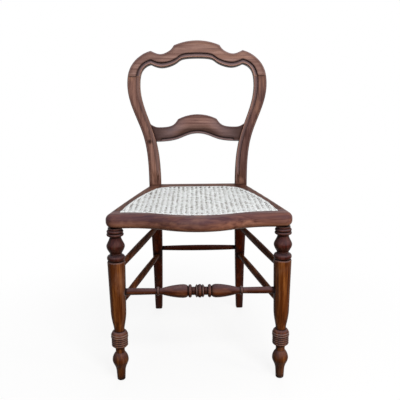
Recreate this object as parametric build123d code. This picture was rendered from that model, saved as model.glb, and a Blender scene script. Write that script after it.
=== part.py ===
from build123d import *
import math
import os

# A wooden side chair with a yoke back, turned front legs and a woven seat panel.
# Sizes are in millimetres and degrees. +Z is up, the chair faces -Y and stands on Z = 0.
# Heights "up the back" run along the raked plane of the back, from the level of the seat.

# Seat plan
OVERALL_DEPTH = 523.0  # front of the bowed rail to the back of the rear feet
SEAT_HEIGHT = 445.0
SEAT_THICKNESS = 35.5
SEAT_DEPTH = 348.0  # front leg axis to the front face of the posts
FRONT_LEG_X = 206.5
SEAT_CORNER_RADIUS = 21.5  # struck from the front leg's axis
FRONT_BOW = 40.5  # how far the front rail swings out past its flats
FRONT_FLAT = 34.5  # straight run between the bow and the corner
SIDE_BOW_ANGLE = 1.25  # how far the side turns between the corner and its chord
SIDE_OVERHANG = 1.0  # seat edge past the outer face of the post
BACK_RAIL_SET = 13.0  # back edge of the seat behind the front face of the posts
FRONT_RAIL_WIDTH = 47.5  # at the middle
BACK_RAIL_WIDTH = 55.0
SIDE_FRONT_WIDTH = 47.0  # side rail at its front end, from the outermost point of the corner
SIDE_BACK_WIDTH = 45.0  # and where its inner edge, run on, meets the back rail
EDGE_FLAT = 5.0  # flat band left between the two roundings of the seat edge

# Woven panel and its binder strip
OPENING_BOW = 36.0  # how far the front of the opening swings out past its corners
OPENING_SIDE_BOW = 12.5
OPENING_BACK_RADIUS = 55.0
WEAVE_THICKNESS = 2.0
WEAVE_REBATE = 7.0  # how far the panel rests on the rails
WEAVE_PITCH = 17.5
WEAVE_STRAND = 7.0
BINDER_GROOVE = 4.0
BINDER_DEPTH = 6.0
BINDER_LAP = 2.0  # binder over the edge of the panel
BINDER_RIM = 1.0  # binder over the outer edge of its groove
BINDER_RISE = 1.5

# Back posts and rear legs
POST_OUTER_X = 149.0
POST_WIDTH = 36.0
POST_DEPTH = 28.0
POST_FLAT_MARGIN = 7.0  # upright flat above and below the seat edge
BACK_RAKE = 12.5
BACK_BEND_RADIUS = 350.0
WAIST_OUTER_X = 166.0  # outer edge at the level of the mid rail
WAIST_WIDTH = 34.5
SHOULDER_OUTER_X = 210.5  # at the joint between post and crest
SHOULDER_WIDTH = 38.5
SHOULDER_RISE = 330.0  # that joint, up the back
SHOULDER_LEAN = 7.0  # how far the post has turned inward there
REAR_FOOT_WIDTH = 21.0
REAR_FOOT_DEPTH = 26.0
REAR_FOOT_INSET = 1.0  # outer edge of the foot inside the outer edge of the post
REAR_FOOT_MARGIN = 5.5  # how far the rounding of the rear foot runs in from its back edge
REAR_LEG_HOLLOW = 3.0  # outer edge of the leg, halfway down, inside the line to its foot

# Crest rail
CREST_RISE = 110.0  # top of the crest above the shoulder joint
CREST_HEIGHT = 51.0  # at the middle
CREST_END_HEIGHT = 39.5  # at the scallops and cusps
SHOULDER_TURN_INSET = 32.0  # point on the round of the shoulder, inside the joint's outer edge
SHOULDER_TURN_RISE = 59.0  # and above the joint
CUSP_INSET = 71.0  # cusp inside the outer edge of the shoulder
CUSP_OUTER_SLOPE = 0.25  # rise from the shoulder into the cusp
CUSP_INNER_SLOPE = 0.5  # fall from the cusp into the scallop
CUSP_DROP = 30.7  # cusp below the top of the crest
SCALLOP_INSET = 34.0  # lowest point of the scallop inside the cusp
SCALLOP_DROP = 40.3
STEP_INSET = 36.0  # corner of the raised middle inside the scallop
STEP_DROP = 14.5
STEP_RUN = 15.0  # slope beside the raised middle of both rails, sideways
STEP_FALL = 17.0  # and downward
STEP_LEAN = 31.0  # edge of the raised middle, from upright
ARCH_INSET = 43.0  # where the underside leaves the scallop for the arch, inside it
ARCH_DROP = 15.5  # underside there, below the crown of the arch

# Mid rail
MID_RAIL_RISE = 156.2  # middle of its ends, up the back
MID_RAIL_END_HEIGHT = 42.6
MID_RAIL_CROWN = 59.8  # top of its middle above the middle of its ends
MID_RAIL_HEIGHT = 56.6  # at the middle
MID_RAIL_STEP_X = 59.0
MID_RAIL_STEP_DROP = 14.5
MID_RAIL_FLARE = 17.0  # how far the top climbs where it meets the post
MID_RAIL_FLARE_SLOPE = 0.8
MID_RAIL_RISE_SHARE = 1 / 3  # how much of its rise the underside has made at the step
MID_RAIL_THICKNESS = 22.0
MID_RAIL_SET = 3.0  # behind the front of the posts
MID_TENON_HEIGHT = 26.0
MID_TENON_THICKNESS = 9.0
MID_TENON_LENGTH = 20.0

# Moulding run along the inside edge of the back
BEAD_WIDTH = 12.5  # from the edge to the wall beside the flat face
BEAD_DROP = 1.2  # bead behind the flat face, at the edge
BEAD_DEPTH = 5.5  # and at the wall
MOULD_GROOVE = 3.0  # groove that carries the wall down to the seat
MOULD_DEPTH = 2.5
MID_BEAD_WIDTH = 7.5
MID_BEAD_DEPTH = 4.0
MID_BEAD_STOP = 22.0  # the mid rail's bead stops this far from the posts

# Turned front legs: the elements from the seat frame down to the plain shaft
LEG_TENON_RADIUS = 11.0
LEG_TENON_LENGTH = 22.0
LEG_COLLAR_HEIGHT = 5.0
LEG_COLLAR_RADIUS = 17.5
LEG_BEAD_HEIGHT = 8.0
LEG_BEAD_BULGE = 3.0
LEG_RING_HEIGHT = 7.5
LEG_RING_BULGE = 3.6
LEG_NECK_HEIGHT = 3.0
LEG_NECK_RADIUS = 14.0
LEG_PEAR_HEIGHT = 41.0
LEG_PEAR_RADIUS = 22.6
LEG_PEAR_WIDEST = 23.0  # below the neck
LEG_PEAR_START = (0.2, -1)  # headings of the pear's profile
LEG_PEAR_END = (-0.6, -1)
LEG_FILLET_HEIGHT = 2.5
LEG_FILLET_RADIUS = 15.0
LEG_HOLLOW_HEIGHT = 4.5
LEG_HOLLOW_RADIUS = 13.0
LEG_DISC_HEIGHT = 11.5
LEG_DISC_RADIUS = 20.3  # at its rims
LEG_DISC_BULGE = 2.2
LEG_QUIRK_HEIGHT = 1.5
LEG_QUIRK_RADIUS = 18.8
LEG_SHOULDER_HEIGHT = 5.0
LEG_SHOULDER_BULGE = 1.4
LEG_SHAFT_TOP_RADIUS = 22.2

# Turned front legs: the elements from the plain shaft down to the floor
LEG_SHAFT_LOW_RADIUS = 19.6
LEG_TAPER_HEIGHT = 53.0
LEG_TAPER_START = (-0.02, -1)  # heading where the shaft begins to thin
LEG_TAPER_SHARE = 2 / 3  # a point this far down the taper is as far through its thinning
LEG_WRIST_RADIUS = 13.0
LEG_CUFF_SHOULDER = 17.0
LEG_CUFF_START = (1, -0.1)  # heading of the shoulder where it leaves the wrist
LEG_CUFF_LIP = 1.5  # slope from the shoulder into the first groove
LEG_CUFF_HEIGHT = 22.5
LEG_CUFF_RADIUS = 21.0
LEG_CUFF_UNDERCUT = 5.0
LEG_CUFF_BEADS = 4
LEG_CUFF_GROOVE_DEPTH = 1.8
LEG_ANKLE_HEIGHT = 13.0
LEG_ANKLE_RADIUS = 11.7
LEG_BALL_HEIGHT = 52.0
LEG_BALL_RADIUS = 20.6
LEG_BALL_WIDEST = 23.0  # below the ankle
LEG_BALL_START = (1, -1)  # headings of the ball's profile
LEG_BALL_END = (-0.1, -1)
LEG_FOOT_HEIGHT = 26.0
LEG_FOOT_RADIUS = 10.5
LEG_FOOT_ROUND = 3.0
TURNING_BULGE = 0.8  # swell of the small rounded elements

# Stretchers
FRONT_STRETCHER_HEIGHT = 242.0
UPPER_STRETCHER_DROP = 109.2  # axis at the front leg, below the seat frame
LOWER_STRETCHER_HEIGHT = 204.0
SIDE_STRETCHER_CLIMB = 9.0  # how much higher the rear end is
SIDE_STRETCHER_RADIUS = 9.3
SIDE_STRETCHER_END_RADIUS = 7.5
BACK_STRETCHER_HEIGHT = 234.5
BACK_STRETCHER_SET = 14.0  # axis behind the front of the rear legs
BACK_STRETCHER_RADIUS = 8.9
BACK_STRETCHER_END_RADIUS = 7.0
FRONT_STRETCHER_END_RADIUS = 8.7
BARREL_HALF_WIDTH = 5.0  # turned middle of the front stretcher, outward from its centre
BARREL_RADIUS = 17.0
BARREL_RIDGE_WIDTH = 5.5
BARREL_FLANK_WIDTH = 1.5
BARREL_GROOVE_DEPTH = 3.2
STRETCHER_NECK_WIDTH = 8.5
STRETCHER_NECK_RADIUS = 10.5
FLANGE_WIDTH = 8.0
FLANGE_RADIUS = 16.6
BULB_START_RADIUS = 10.5
BULB_START = (0.4, 1)  # heading of the bulb's profile beside the flange
BULB_RADIUS = 16.9
BULB_WIDEST = 19.0  # from the flange
BULB_LENGTH = 58.0
BULB_END_RADIUS = 10.6
STRETCHER_TENON_LENGTH = 12.0
BACK_STRETCHER_TENON_LENGTH = 9.0

# Joinery
DOWEL_RADIUS = 4.0
DOWEL_DEPTH = 19.0
FRONT_DOWEL_DEPTH = 12.0  # into the front rail, beside the leg's tenon
DOWEL_WALL = 3.0  # wood between a dowel and its neighbour
CREST_DOWEL_SPACING = 14.0
POST_DOWEL_SPACING = 14.0
CORNER_DOWEL_SPACING = 14.0
BACK_TENON_LENGTH = 14.0
BACK_TENON_THICKNESS = 7.0
BACK_TENON_HEIGHT = 18.0
BACK_TENON_SET = 1.0  # in from the back of the rail
FIT_CLEARANCE = 0.15  # round a tenon or dowel
END_CLEARANCE = 0.5  # at the bottom of a mortise
SHOULDER_GAP = 0.2  # between a curved shoulder and what it meets
BACK_EDGE_ROUND = 5.0
MID_RAIL_ROUND = 3.0

# Places worked out from the sizes above
FRONT_Y = -OVERALL_DEPTH / 2
LEG_Y = FRONT_Y + FRONT_BOW + SEAT_CORNER_RADIUS
POST_Y = LEG_Y + SEAT_DEPTH
SEAT_BACK_X = POST_OUTER_X + SIDE_OVERHANG
SEAT_BACK_Y = POST_Y + BACK_RAIL_SET
REAR_FOOT_Y = OVERALL_DEPTH / 2 - REAR_FOOT_DEPTH
SEAT_UNDERSIDE = SEAT_HEIGHT - SEAT_THICKNESS
SEAT_MID = SEAT_HEIGHT - SEAT_THICKNESS / 2
POST_INNER_X = POST_OUTER_X - POST_WIDTH
POST_MID_X = POST_OUTER_X - POST_WIDTH / 2
WAIST_INNER_X = WAIST_OUTER_X - WAIST_WIDTH
SHOULDER_INNER_X = SHOULDER_OUTER_X - SHOULDER_WIDTH
FLAT_LOW = SEAT_UNDERSIDE - POST_FLAT_MARGIN
FLAT_HIGH = SEAT_HEIGHT + POST_FLAT_MARGIN
REAR_LEG_LEAN = 2 * math.atan((REAR_FOOT_Y - POST_Y) / FLAT_LOW)  # at the floor
REAR_FOOT_ROUND = REAR_FOOT_MARGIN * math.tan((math.pi / 2 - REAR_LEG_LEAN) / 2)
SHAFT_TOP = SEAT_UNDERSIDE - (
    LEG_COLLAR_HEIGHT
    + LEG_BEAD_HEIGHT
    + LEG_RING_HEIGHT
    + LEG_NECK_HEIGHT
    + LEG_PEAR_HEIGHT
    + LEG_FILLET_HEIGHT
    + LEG_HOLLOW_HEIGHT
    + LEG_DISC_HEIGHT
    + LEG_QUIRK_HEIGHT
    + LEG_SHOULDER_HEIGHT
)
SHAFT_LOW = (
    LEG_TAPER_HEIGHT
    + LEG_CUFF_SHOULDER
    + LEG_CUFF_LIP
    + LEG_CUFF_HEIGHT
    + LEG_CUFF_UNDERCUT
    + LEG_ANKLE_HEIGHT
    + LEG_BALL_HEIGHT
    + LEG_FOOT_HEIGHT
)
FRONT_JOINT_Y = LEG_Y + LEG_TENON_RADIUS + DOWEL_WALL + FRONT_DOWEL_DEPTH
RAKE_SIN = math.sin(math.radians(BACK_RAKE))
RAKE_COS = math.cos(math.radians(BACK_RAKE))
BEND_TOP_Y = POST_Y + BACK_BEND_RADIUS * (1 - RAKE_COS)
BEND_TOP_Z = FLAT_HIGH + BACK_BEND_RADIUS * RAKE_SIN
BACK_ORIGIN_Y = BEND_TOP_Y - (BEND_TOP_Z - SEAT_HEIGHT) * RAKE_SIN / RAKE_COS
BACK_PLANE = Plane(
    origin=(0, BACK_ORIGIN_Y, SEAT_HEIGHT), x_dir=(1, 0, 0), z_dir=(0, -RAKE_COS, RAKE_SIN)
)
SHOULDER_HEADING = (-math.sin(math.radians(SHOULDER_LEAN)), math.cos(math.radians(SHOULDER_LEAN)))
STEP_HEADING = (-math.sin(math.radians(STEP_LEAN)), math.cos(math.radians(STEP_LEAN)))
CREST_TOP = SHOULDER_RISE + CREST_RISE
CUSP_X = SHOULDER_OUTER_X - CUSP_INSET
SCALLOP_X = CUSP_X - SCALLOP_INSET
STEP_X = SCALLOP_X - STEP_INSET
REACH = 2 * OVERALL_DEPTH  # longer than any cut needs


def block(low, high):
    """Box between two corners."""
    size = [b - a for a, b in zip(low, high)]
    middle = [(a + b) / 2 for a, b in zip(low, high)]
    return Pos(*middle) * Box(*size)


def rod(start, end, radius):
    """Round bar between two points."""
    axis = Vector(end) - Vector(start)
    seat = (Align.CENTER, Align.CENTER, Align.MIN)
    return Plane(origin=start, z_dir=axis) * Cylinder(radius, axis.length, align=seat)


def dowel(middle, along, depth_back, depth_on):
    """A dowel through a joint face, and the hole that takes it."""
    middle = Vector(middle)
    along = Vector(along).normalized()
    pin = rod(middle - along * depth_back, middle + along * depth_on, DOWEL_RADIUS)
    room = END_CLEARANCE
    hole = rod(
        middle - along * (depth_back + room),
        middle + along * (depth_on + room),
        DOWEL_RADIUS + FIT_CLEARANCE,
    )
    return pin, hole


def mirrored_face(half):
    """Closed outline from its right half and that half's mirror image."""
    return make_face(half + [edge.mirror(Plane.YZ) for edge in half])


def flipped(shape):
    """The same piece on the other side of the chair."""
    return mirror(shape, about=Plane.YZ)


# Seat frame


def seat_plan():
    """Outline of the seat: ogee front, corners struck from the legs, swept sides."""
    bow_half = FRONT_LEG_X - FRONT_FLAT
    flat_y = FRONT_Y + FRONT_BOW
    turn = (bow_half / 2, FRONT_Y + FRONT_BOW / 2)
    bow = TangentArc((0, FRONT_Y), turn, tangent=(1, 0))
    sweep = TangentArc((bow_half, flat_y), turn, tangent=(-1, 0))
    flat = Line((bow_half, flat_y), (FRONT_LEG_X, flat_y))
    back_corner = (SEAT_BACK_X, SEAT_BACK_Y)
    run = math.hypot(FRONT_LEG_X - SEAT_BACK_X, SEAT_BACK_Y - LEG_Y)
    lean = math.atan2(FRONT_LEG_X - SEAT_BACK_X, SEAT_BACK_Y - LEG_Y)
    chord = math.degrees(lean + math.asin(SEAT_CORNER_RADIUS / run))
    turned_through = 90 + chord - SIDE_BOW_ANGLE
    corner = CenterArc((FRONT_LEG_X, LEG_Y), SEAT_CORNER_RADIUS, -90, turned_through)
    side = TangentArc(corner @ 1, back_corner, tangent=corner % 1)
    back = Line(back_corner, (0, SEAT_BACK_Y))
    return mirrored_face([bow, sweep, flat, corner, side, back])


def seat_opening():
    """Hole in the seat frame: ogee front, bowed sides and wide rear corners."""
    front_y = FRONT_Y + FRONT_RAIL_WIDTH
    back_y = SEAT_BACK_Y - BACK_RAIL_WIDTH
    corner = (FRONT_LEG_X + SEAT_CORNER_RADIUS - SIDE_FRONT_WIDTH, front_y + OPENING_BOW)
    turn = (corner[0] / 2, front_y + OPENING_BOW / 2)
    rear = (SEAT_BACK_X - SIDE_BACK_WIDTH, back_y)
    half = [
        TangentArc((0, front_y), turn, tangent=(1, 0)),
        TangentArc(corner, turn, tangent=(-1, 0)),
        SagittaArc(corner, rear, -OPENING_SIDE_BOW),
        Line(rear, (0, back_y)),
    ]
    hole = mirrored_face(half)
    rear_corners = hole.vertices().group_by(Axis.Y)[-1].sort_by(lambda v: abs(v.X))[-2:]
    return fillet(rear_corners, OPENING_BACK_RADIUS)


def around(opening, amount):
    """The opening's outline moved outward, with its corners kept sharp."""
    return offset(opening, amount=amount, kind=Kind.INTERSECTION)


def raised(face, low, high):
    """A seat outline as a slab between two heights."""
    return extrude(Pos(0, 0, low) * face, amount=high - low)


def seat_slab(plan):
    """The whole seat blank with its rounded edge."""
    slab = raised(plan, SEAT_UNDERSIDE, SEAT_HEIGHT)
    level = slab.edges().filter_by(lambda e: e.bounding_box().size.Z < FIT_CLEARANCE)
    swept = level.filter_by(lambda e: e.center().Y < SEAT_BACK_Y - FIT_CLEARANCE)
    return fillet(swept, (SEAT_THICKNESS - EDGE_FLAT) / 2)


def seat_frame():
    """Ring of the four rails with the rebate and groove for the panel."""
    plan = seat_plan()
    opening = seat_opening()
    panel = around(opening, WEAVE_REBATE + FIT_CLEARANCE)
    groove = around(opening, WEAVE_REBATE + FIT_CLEARANCE + BINDER_GROOVE)
    ring = seat_slab(plan) - raised(opening, SEAT_UNDERSIDE, SEAT_HEIGHT)
    ring -= raised(panel, SEAT_HEIGHT - WEAVE_THICKNESS, SEAT_HEIGHT)
    ring -= raised(groove - panel, SEAT_HEIGHT - BINDER_DEPTH, SEAT_HEIGHT)
    return ring, opening


def seat_dowels():
    """Dowels at the right-hand corners of the frame, with their holes."""
    pins = []
    joint_x = FRONT_LEG_X + SEAT_CORNER_RADIUS - SIDE_FRONT_WIDTH / 2
    for side in (-0.5, 0.5):
        middle = (joint_x + side * CORNER_DOWEL_SPACING, FRONT_JOINT_Y, SEAT_MID)
        pins.append(dowel(middle, (0, 1, 0), FRONT_DOWEL_DEPTH, DOWEL_DEPTH))
    back_y = POST_Y - (BACK_RAIL_WIDTH - BACK_RAIL_SET) / 2
    pins.append(dowel((POST_INNER_X, back_y, SEAT_MID), (1, 0, 0), DOWEL_DEPTH, BACK_TENON_LENGTH))
    return pins


def post_dowels():
    """Dowels between the right-hand side rail and its post, with their holes."""
    x = POST_INNER_X + BACK_TENON_LENGTH + END_CLEARANCE + DOWEL_WALL + 2 * DOWEL_RADIUS
    pins = []
    for side in (-0.5, 0.5):
        middle = (x, POST_Y, SEAT_MID + side * POST_DOWEL_SPACING)
        pins.append(dowel(middle, (0, 1, 0), DOWEL_DEPTH, DOWEL_DEPTH))
    return pins


def back_tenon(clearance, end_clearance):
    """Right-hand tenon of the back seat rail, or the mortise for it."""
    y = SEAT_BACK_Y - BACK_TENON_SET - BACK_TENON_THICKNESS / 2
    half = BACK_TENON_THICKNESS / 2 + clearance
    rise = BACK_TENON_HEIGHT / 2 + clearance
    low = (POST_INNER_X - DOWEL_WALL, y - half, SEAT_MID - rise)
    high = (POST_INNER_X + BACK_TENON_LENGTH + end_clearance, y + half, SEAT_MID + rise)
    return block(low, high)


def seat_rails(ring):
    """Front, right side and back rails, cut from the ring and bored for their dowels."""
    holes = [hole for pin, hole in seat_dowels() + post_dowels()]
    holes += [flipped(hole) for hole in holes]
    front = ring & block((-REACH, -REACH, 0), (REACH, FRONT_JOINT_Y, SEAT_HEIGHT))
    tenon_top = SEAT_UNDERSIDE + LEG_TENON_LENGTH + END_CLEARANCE
    for x in (-FRONT_LEG_X, FRONT_LEG_X):
        front -= rod((x, LEG_Y, 0), (x, LEG_Y, tenon_top), LEG_TENON_RADIUS + FIT_CLEARANCE)
    side = ring & block((POST_INNER_X, FRONT_JOINT_Y, 0), (REACH, POST_Y, SEAT_HEIGHT))
    middle_y = (LEG_Y + POST_Y) / 2
    back = ring & block((-POST_INNER_X, middle_y, 0), (POST_INNER_X, REACH, SEAT_HEIGHT))
    back += back_tenon(0, 0)
    back += flipped(back_tenon(0, 0))
    for hole in holes:
        front -= hole
        side -= hole
        back -= hole
    return front, side, back


# Woven panel


def woven_panel(opening):
    """Flat net resting in the rebate: one face with a hole in each mesh."""
    sheet = around(opening, WEAVE_REBATE).face()
    field = around(opening, -WEAVE_PITCH / 2).face()
    bounds = field.bounding_box()
    columns = math.floor(bounds.max.X / WEAVE_PITCH)
    rows = math.floor(bounds.size.Y / WEAVE_PITCH)
    start_y = bounds.center().Y - rows * WEAVE_PITCH / 2
    mesh = WEAVE_PITCH - WEAVE_STRAND
    gaps = []
    for row in range(rows + 1):
        for column in range(-columns, columns + 1):
            middle = (column * WEAVE_PITCH, start_y + row * WEAVE_PITCH)
            if field.is_inside((*middle, 0)):
                gaps.append((Pos(*middle) * Rectangle(mesh, mesh)).wire())
    print("woven panel gaps:", len(gaps))
    net = Face(sheet.outer_wire(), gaps)
    return raised(net, SEAT_HEIGHT - WEAVE_THICKNESS, SEAT_HEIGHT)


def weave_binder(opening):
    """Strip with a tongue in the groove and a cap over the edge of the panel."""
    inner = WEAVE_REBATE + 2 * FIT_CLEARANCE
    outer = WEAVE_REBATE + BINDER_GROOVE
    tongue = around(opening, outer) - around(opening, inner)
    cap = around(opening, outer + BINDER_RIM) - around(opening, WEAVE_REBATE - BINDER_LAP)
    strip = raised(tongue, SEAT_HEIGHT - BINDER_DEPTH + END_CLEARANCE, SEAT_HEIGHT)
    return strip + raised(cap, SEAT_HEIGHT, SEAT_HEIGHT + BINDER_RISE)


# Back


def profile_edge(depth):
    """Side view of the post at one depth behind its front: edges, foot and top."""
    y = POST_Y + depth
    radius = BACK_BEND_RADIUS - depth
    foot = (REAR_FOOT_Y + depth * REAR_FOOT_DEPTH / POST_DEPTH, 0)
    bend = (y + radius * (1 - RAKE_COS), FLAT_HIGH + radius * RAKE_SIN)
    top = (bend[0] + CREST_TOP * RAKE_SIN, bend[1] + CREST_TOP * RAKE_COS)
    edges = [
        TangentArc((y, FLAT_LOW), foot, tangent=(0, -1)),
        Line((y, FLAT_LOW), (y, FLAT_HIGH)),
        TangentArc((y, FLAT_HIGH), bend, tangent=(0, 1)),
        Line(bend, top),
    ]
    return edges, foot, top


def side_band(front, back):
    """Slab across the chair with the posts' side view, between two depths."""
    near, near_foot, near_top = profile_edge(front)
    far, far_foot, far_top = profile_edge(back)
    ends = [Line(near_foot, far_foot), Line(near_top, far_top)]
    return extrude(Plane.YZ * make_face(near + far + ends), amount=REACH, both=True)


def up_the_back(y, z):
    """Height up the plane of the back of a point seen from the side."""
    return (y - BACK_ORIGIN_Y) * RAKE_SIN + (z - SEAT_HEIGHT) * RAKE_COS


def rear_leg_front(z):
    """Where the front of the rear leg is at a height below the seat."""
    kick = REAR_FOOT_Y - POST_Y
    radius = (FLAT_LOW**2 + kick**2) / (2 * kick)
    return POST_Y + radius - math.sqrt(radius**2 - (FLAT_LOW - z) ** 2)


def post_sweep(inset):
    """Inner edge of the right post from the seat to the shoulder, moved into the wood."""
    return Spline(
        (POST_INNER_X + inset, POST_FLAT_MARGIN),
        (WAIST_INNER_X + inset, MID_RAIL_RISE),
        (SHOULDER_INNER_X + inset, SHOULDER_RISE),
        tangents=((0, 1), SHOULDER_HEADING),
    )


def beside_post(inset):
    """Area between the middle of the chair and the inner edge of the right post."""
    edge = post_sweep(inset)
    low = (0, POST_FLAT_MARGIN)
    high = (0, SHOULDER_RISE)
    return make_face([edge, Line(edge @ 1, high), Line(high, low), Line(low, edge @ 0)])


def post_outline():
    """Front view of the right post, in the plane of the back."""
    foot = up_the_back(REAR_FOOT_Y, 0) - REAR_FOOT_DEPTH
    under = up_the_back(POST_Y, SEAT_UNDERSIDE)
    outer = Spline(
        (POST_OUTER_X, POST_FLAT_MARGIN),
        (WAIST_OUTER_X, MID_RAIL_RISE),
        (SHOULDER_OUTER_X, SHOULDER_RISE),
        tangents=((0, 1), SHOULDER_HEADING),
    )
    foot_outer = (POST_OUTER_X - REAR_FOOT_INSET, foot)
    foot_inner = (foot_outer[0] - REAR_FOOT_WIDTH, foot)
    hollow = ((POST_OUTER_X + foot_outer[0]) / 2 - REAR_LEG_HOLLOW, (under + foot) / 2)
    to_foot = (foot_outer[0] - hollow[0], foot - hollow[1])
    edges = [
        Spline((POST_OUTER_X, under), hollow, foot_outer, tangents=((0, -1), to_foot)),
        Line((POST_OUTER_X, under), (POST_OUTER_X, POST_FLAT_MARGIN)),
        outer,
        Line((SHOULDER_OUTER_X, SHOULDER_RISE), (SHOULDER_INNER_X, SHOULDER_RISE)),
        post_sweep(0),
        Line((POST_INNER_X, POST_FLAT_MARGIN), (POST_INNER_X, under)),
        TangentArc((POST_INNER_X, under), foot_inner, tangent=(0, -1)),
        Line(foot_inner, foot_outer),
    ]
    return make_face(edges)


def on_back(face, near, far):
    """An outline in the plane of the back, as a slab between two depths behind its front."""
    return extrude(BACK_PLANE * Pos(0, 0, -far) * face, amount=far - near)


def bead_cut(area, near, width, depth):
    """What is cut away to leave a sloping bead along an edge; area(inset) lies beyond that edge."""
    front = BACK_PLANE * Pos(0, 0, -near - BEAD_DROP) * area(0)
    back = BACK_PLANE * Pos(0, 0, -near - depth) * area(width)
    return on_back(area(width), -REACH, near + depth) - loft([front, back], ruled=True)


def softened(slab, radius):
    """Round the curved edges of a slab, at its front and its back."""
    return fillet(slab.edges().filter_by(lambda e: e.geom_type != GeomType.LINE), radius)


def crest_dowels():
    """Dowels in the right shoulder joint, with their holes."""
    pins = []
    middle_x = (SHOULDER_OUTER_X + SHOULDER_INNER_X) / 2
    for side in (-0.5, 0.5):
        spot = (middle_x + side * CREST_DOWEL_SPACING, SHOULDER_RISE, -POST_DEPTH / 2)
        middle = BACK_PLANE.from_local_coords(spot)
        pins.append(dowel(middle, BACK_PLANE.y_dir, DOWEL_DEPTH, DOWEL_DEPTH))
    return pins


def mid_tenon(clearance, end_clearance):
    """Right-hand tenon of the mid rail, or the mortise for it."""
    start = WAIST_INNER_X - MID_TENON_LENGTH
    end = WAIST_INNER_X + MID_TENON_LENGTH + end_clearance
    height = MID_TENON_HEIGHT + 2 * clearance
    face = Pos((start + end) / 2, MID_RAIL_RISE) * Rectangle(end - start, height)
    middle = MID_RAIL_SET + MID_RAIL_THICKNESS / 2
    half = MID_TENON_THICKNESS / 2 + clearance
    return on_back(face, middle - half, middle + half)


def back_post(stretcher_holes):
    """Right post and rear leg in one piece, with its moulding and mortises."""
    post = on_back(post_outline(), -REACH, REACH) & side_band(0, POST_DEPTH)
    upright = post.edges().filter_by(lambda e: abs(e.tangent_at(0.5).Z) > RAKE_COS / 2)
    post = fillet(upright, BACK_EDGE_ROUND)
    post = fillet(post.faces().sort_by(Axis.Z)[0].edges(), REAR_FOOT_ROUND)
    strip = beside_post(BEAD_WIDTH) - beside_post(BEAD_WIDTH - MOULD_GROOVE)
    post -= on_back(strip, -REACH, REACH) & side_band(-MOULD_DEPTH, MOULD_DEPTH)
    post -= bead_cut(beside_post, 0, BEAD_WIDTH, BEAD_DEPTH)
    post -= mid_tenon(FIT_CLEARANCE, END_CLEARANCE)
    post -= back_tenon(FIT_CLEARANCE, END_CLEARANCE)
    for pin, hole in post_dowels() + crest_dowels():
        post -= hole
    for hole in stretcher_holes:
        post -= hole
    return post


def crest_underside(inset):
    """Right half of the crest's lower edge, moved up into the wood."""
    cusp = (CUSP_X, CREST_TOP - CUSP_DROP - CREST_END_HEIGHT + inset)
    dip = (SCALLOP_X, CREST_TOP - SCALLOP_DROP - CREST_END_HEIGHT + inset)
    crown = CREST_TOP - CREST_HEIGHT + inset
    arch = (SCALLOP_X - ARCH_INSET, crown - ARCH_DROP)
    joint = (SHOULDER_INNER_X + inset, SHOULDER_RISE)
    shoulder = Spline(joint, cusp, tangents=(SHOULDER_HEADING, (-1, CUSP_OUTER_SLOPE)))
    wave = Spline(cusp, dip, arch, (0, crown), tangents=((-1, -CUSP_INNER_SLOPE), (-1, 0)))
    return [shoulder, wave]


def below_crest(inset):
    """Area between the shoulder joints and the lower edge of the crest."""
    half = crest_underside(inset)
    return mirrored_face(half + [Line((0, SHOULDER_RISE), half[0] @ 0)])


def crest_rail():
    """Shaped crest with cusps, scallops and a raised middle."""
    joint = (SHOULDER_OUTER_X, SHOULDER_RISE)
    turn = (SHOULDER_OUTER_X - SHOULDER_TURN_INSET, SHOULDER_RISE + SHOULDER_TURN_RISE)
    cusp = (CUSP_X, CREST_TOP - CUSP_DROP)
    scallop = (SCALLOP_X, CREST_TOP - SCALLOP_DROP)
    step = (STEP_X, CREST_TOP - STEP_DROP)
    slope = (STEP_X + STEP_RUN, CREST_TOP - STEP_DROP - STEP_FALL)
    half = [
        Line((SHOULDER_INNER_X, SHOULDER_RISE), joint),
        Spline(joint, turn, cusp, tangents=(SHOULDER_HEADING, (-1, CUSP_OUTER_SLOPE))),
        Spline(cusp, scallop, slope, step, tangents=((-1, -CUSP_INNER_SLOPE), STEP_HEADING)),
        TangentArc((0, CREST_TOP), step, tangent=(1, 0)),
    ]
    crest = on_back(mirrored_face(half + crest_underside(0)), 0, POST_DEPTH)
    crest = softened(crest, BACK_EDGE_ROUND)
    crest -= bead_cut(below_crest, 0, BEAD_WIDTH, BEAD_DEPTH)
    for pin, hole in crest_dowels():
        crest -= hole
        crest -= flipped(hole)
    return crest


def mid_underside(inset):
    """Right half of the mid rail's lower edge, moved up into the wood."""
    low = MID_RAIL_RISE - MID_RAIL_END_HEIGHT / 2 + inset
    crown = MID_RAIL_RISE + MID_RAIL_CROWN - MID_RAIL_HEIGHT + inset
    end_x = WAIST_INNER_X + MID_TENON_LENGTH
    rise = (MID_RAIL_STEP_X, low + (crown - low) * MID_RAIL_RISE_SHARE)
    return Spline((end_x, low), rise, (0, crown), tangents=((-1, 0), (-1, 0)))


def below_mid_rail(inset):
    """Area under the lower edge of the mid rail."""
    edge = mid_underside(inset)
    low = MID_RAIL_RISE - MID_RAIL_END_HEIGHT
    corner = (WAIST_INNER_X + MID_TENON_LENGTH, low)
    return mirrored_face([edge, Line(edge @ 0, corner), Line(corner, (0, low))])


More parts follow.
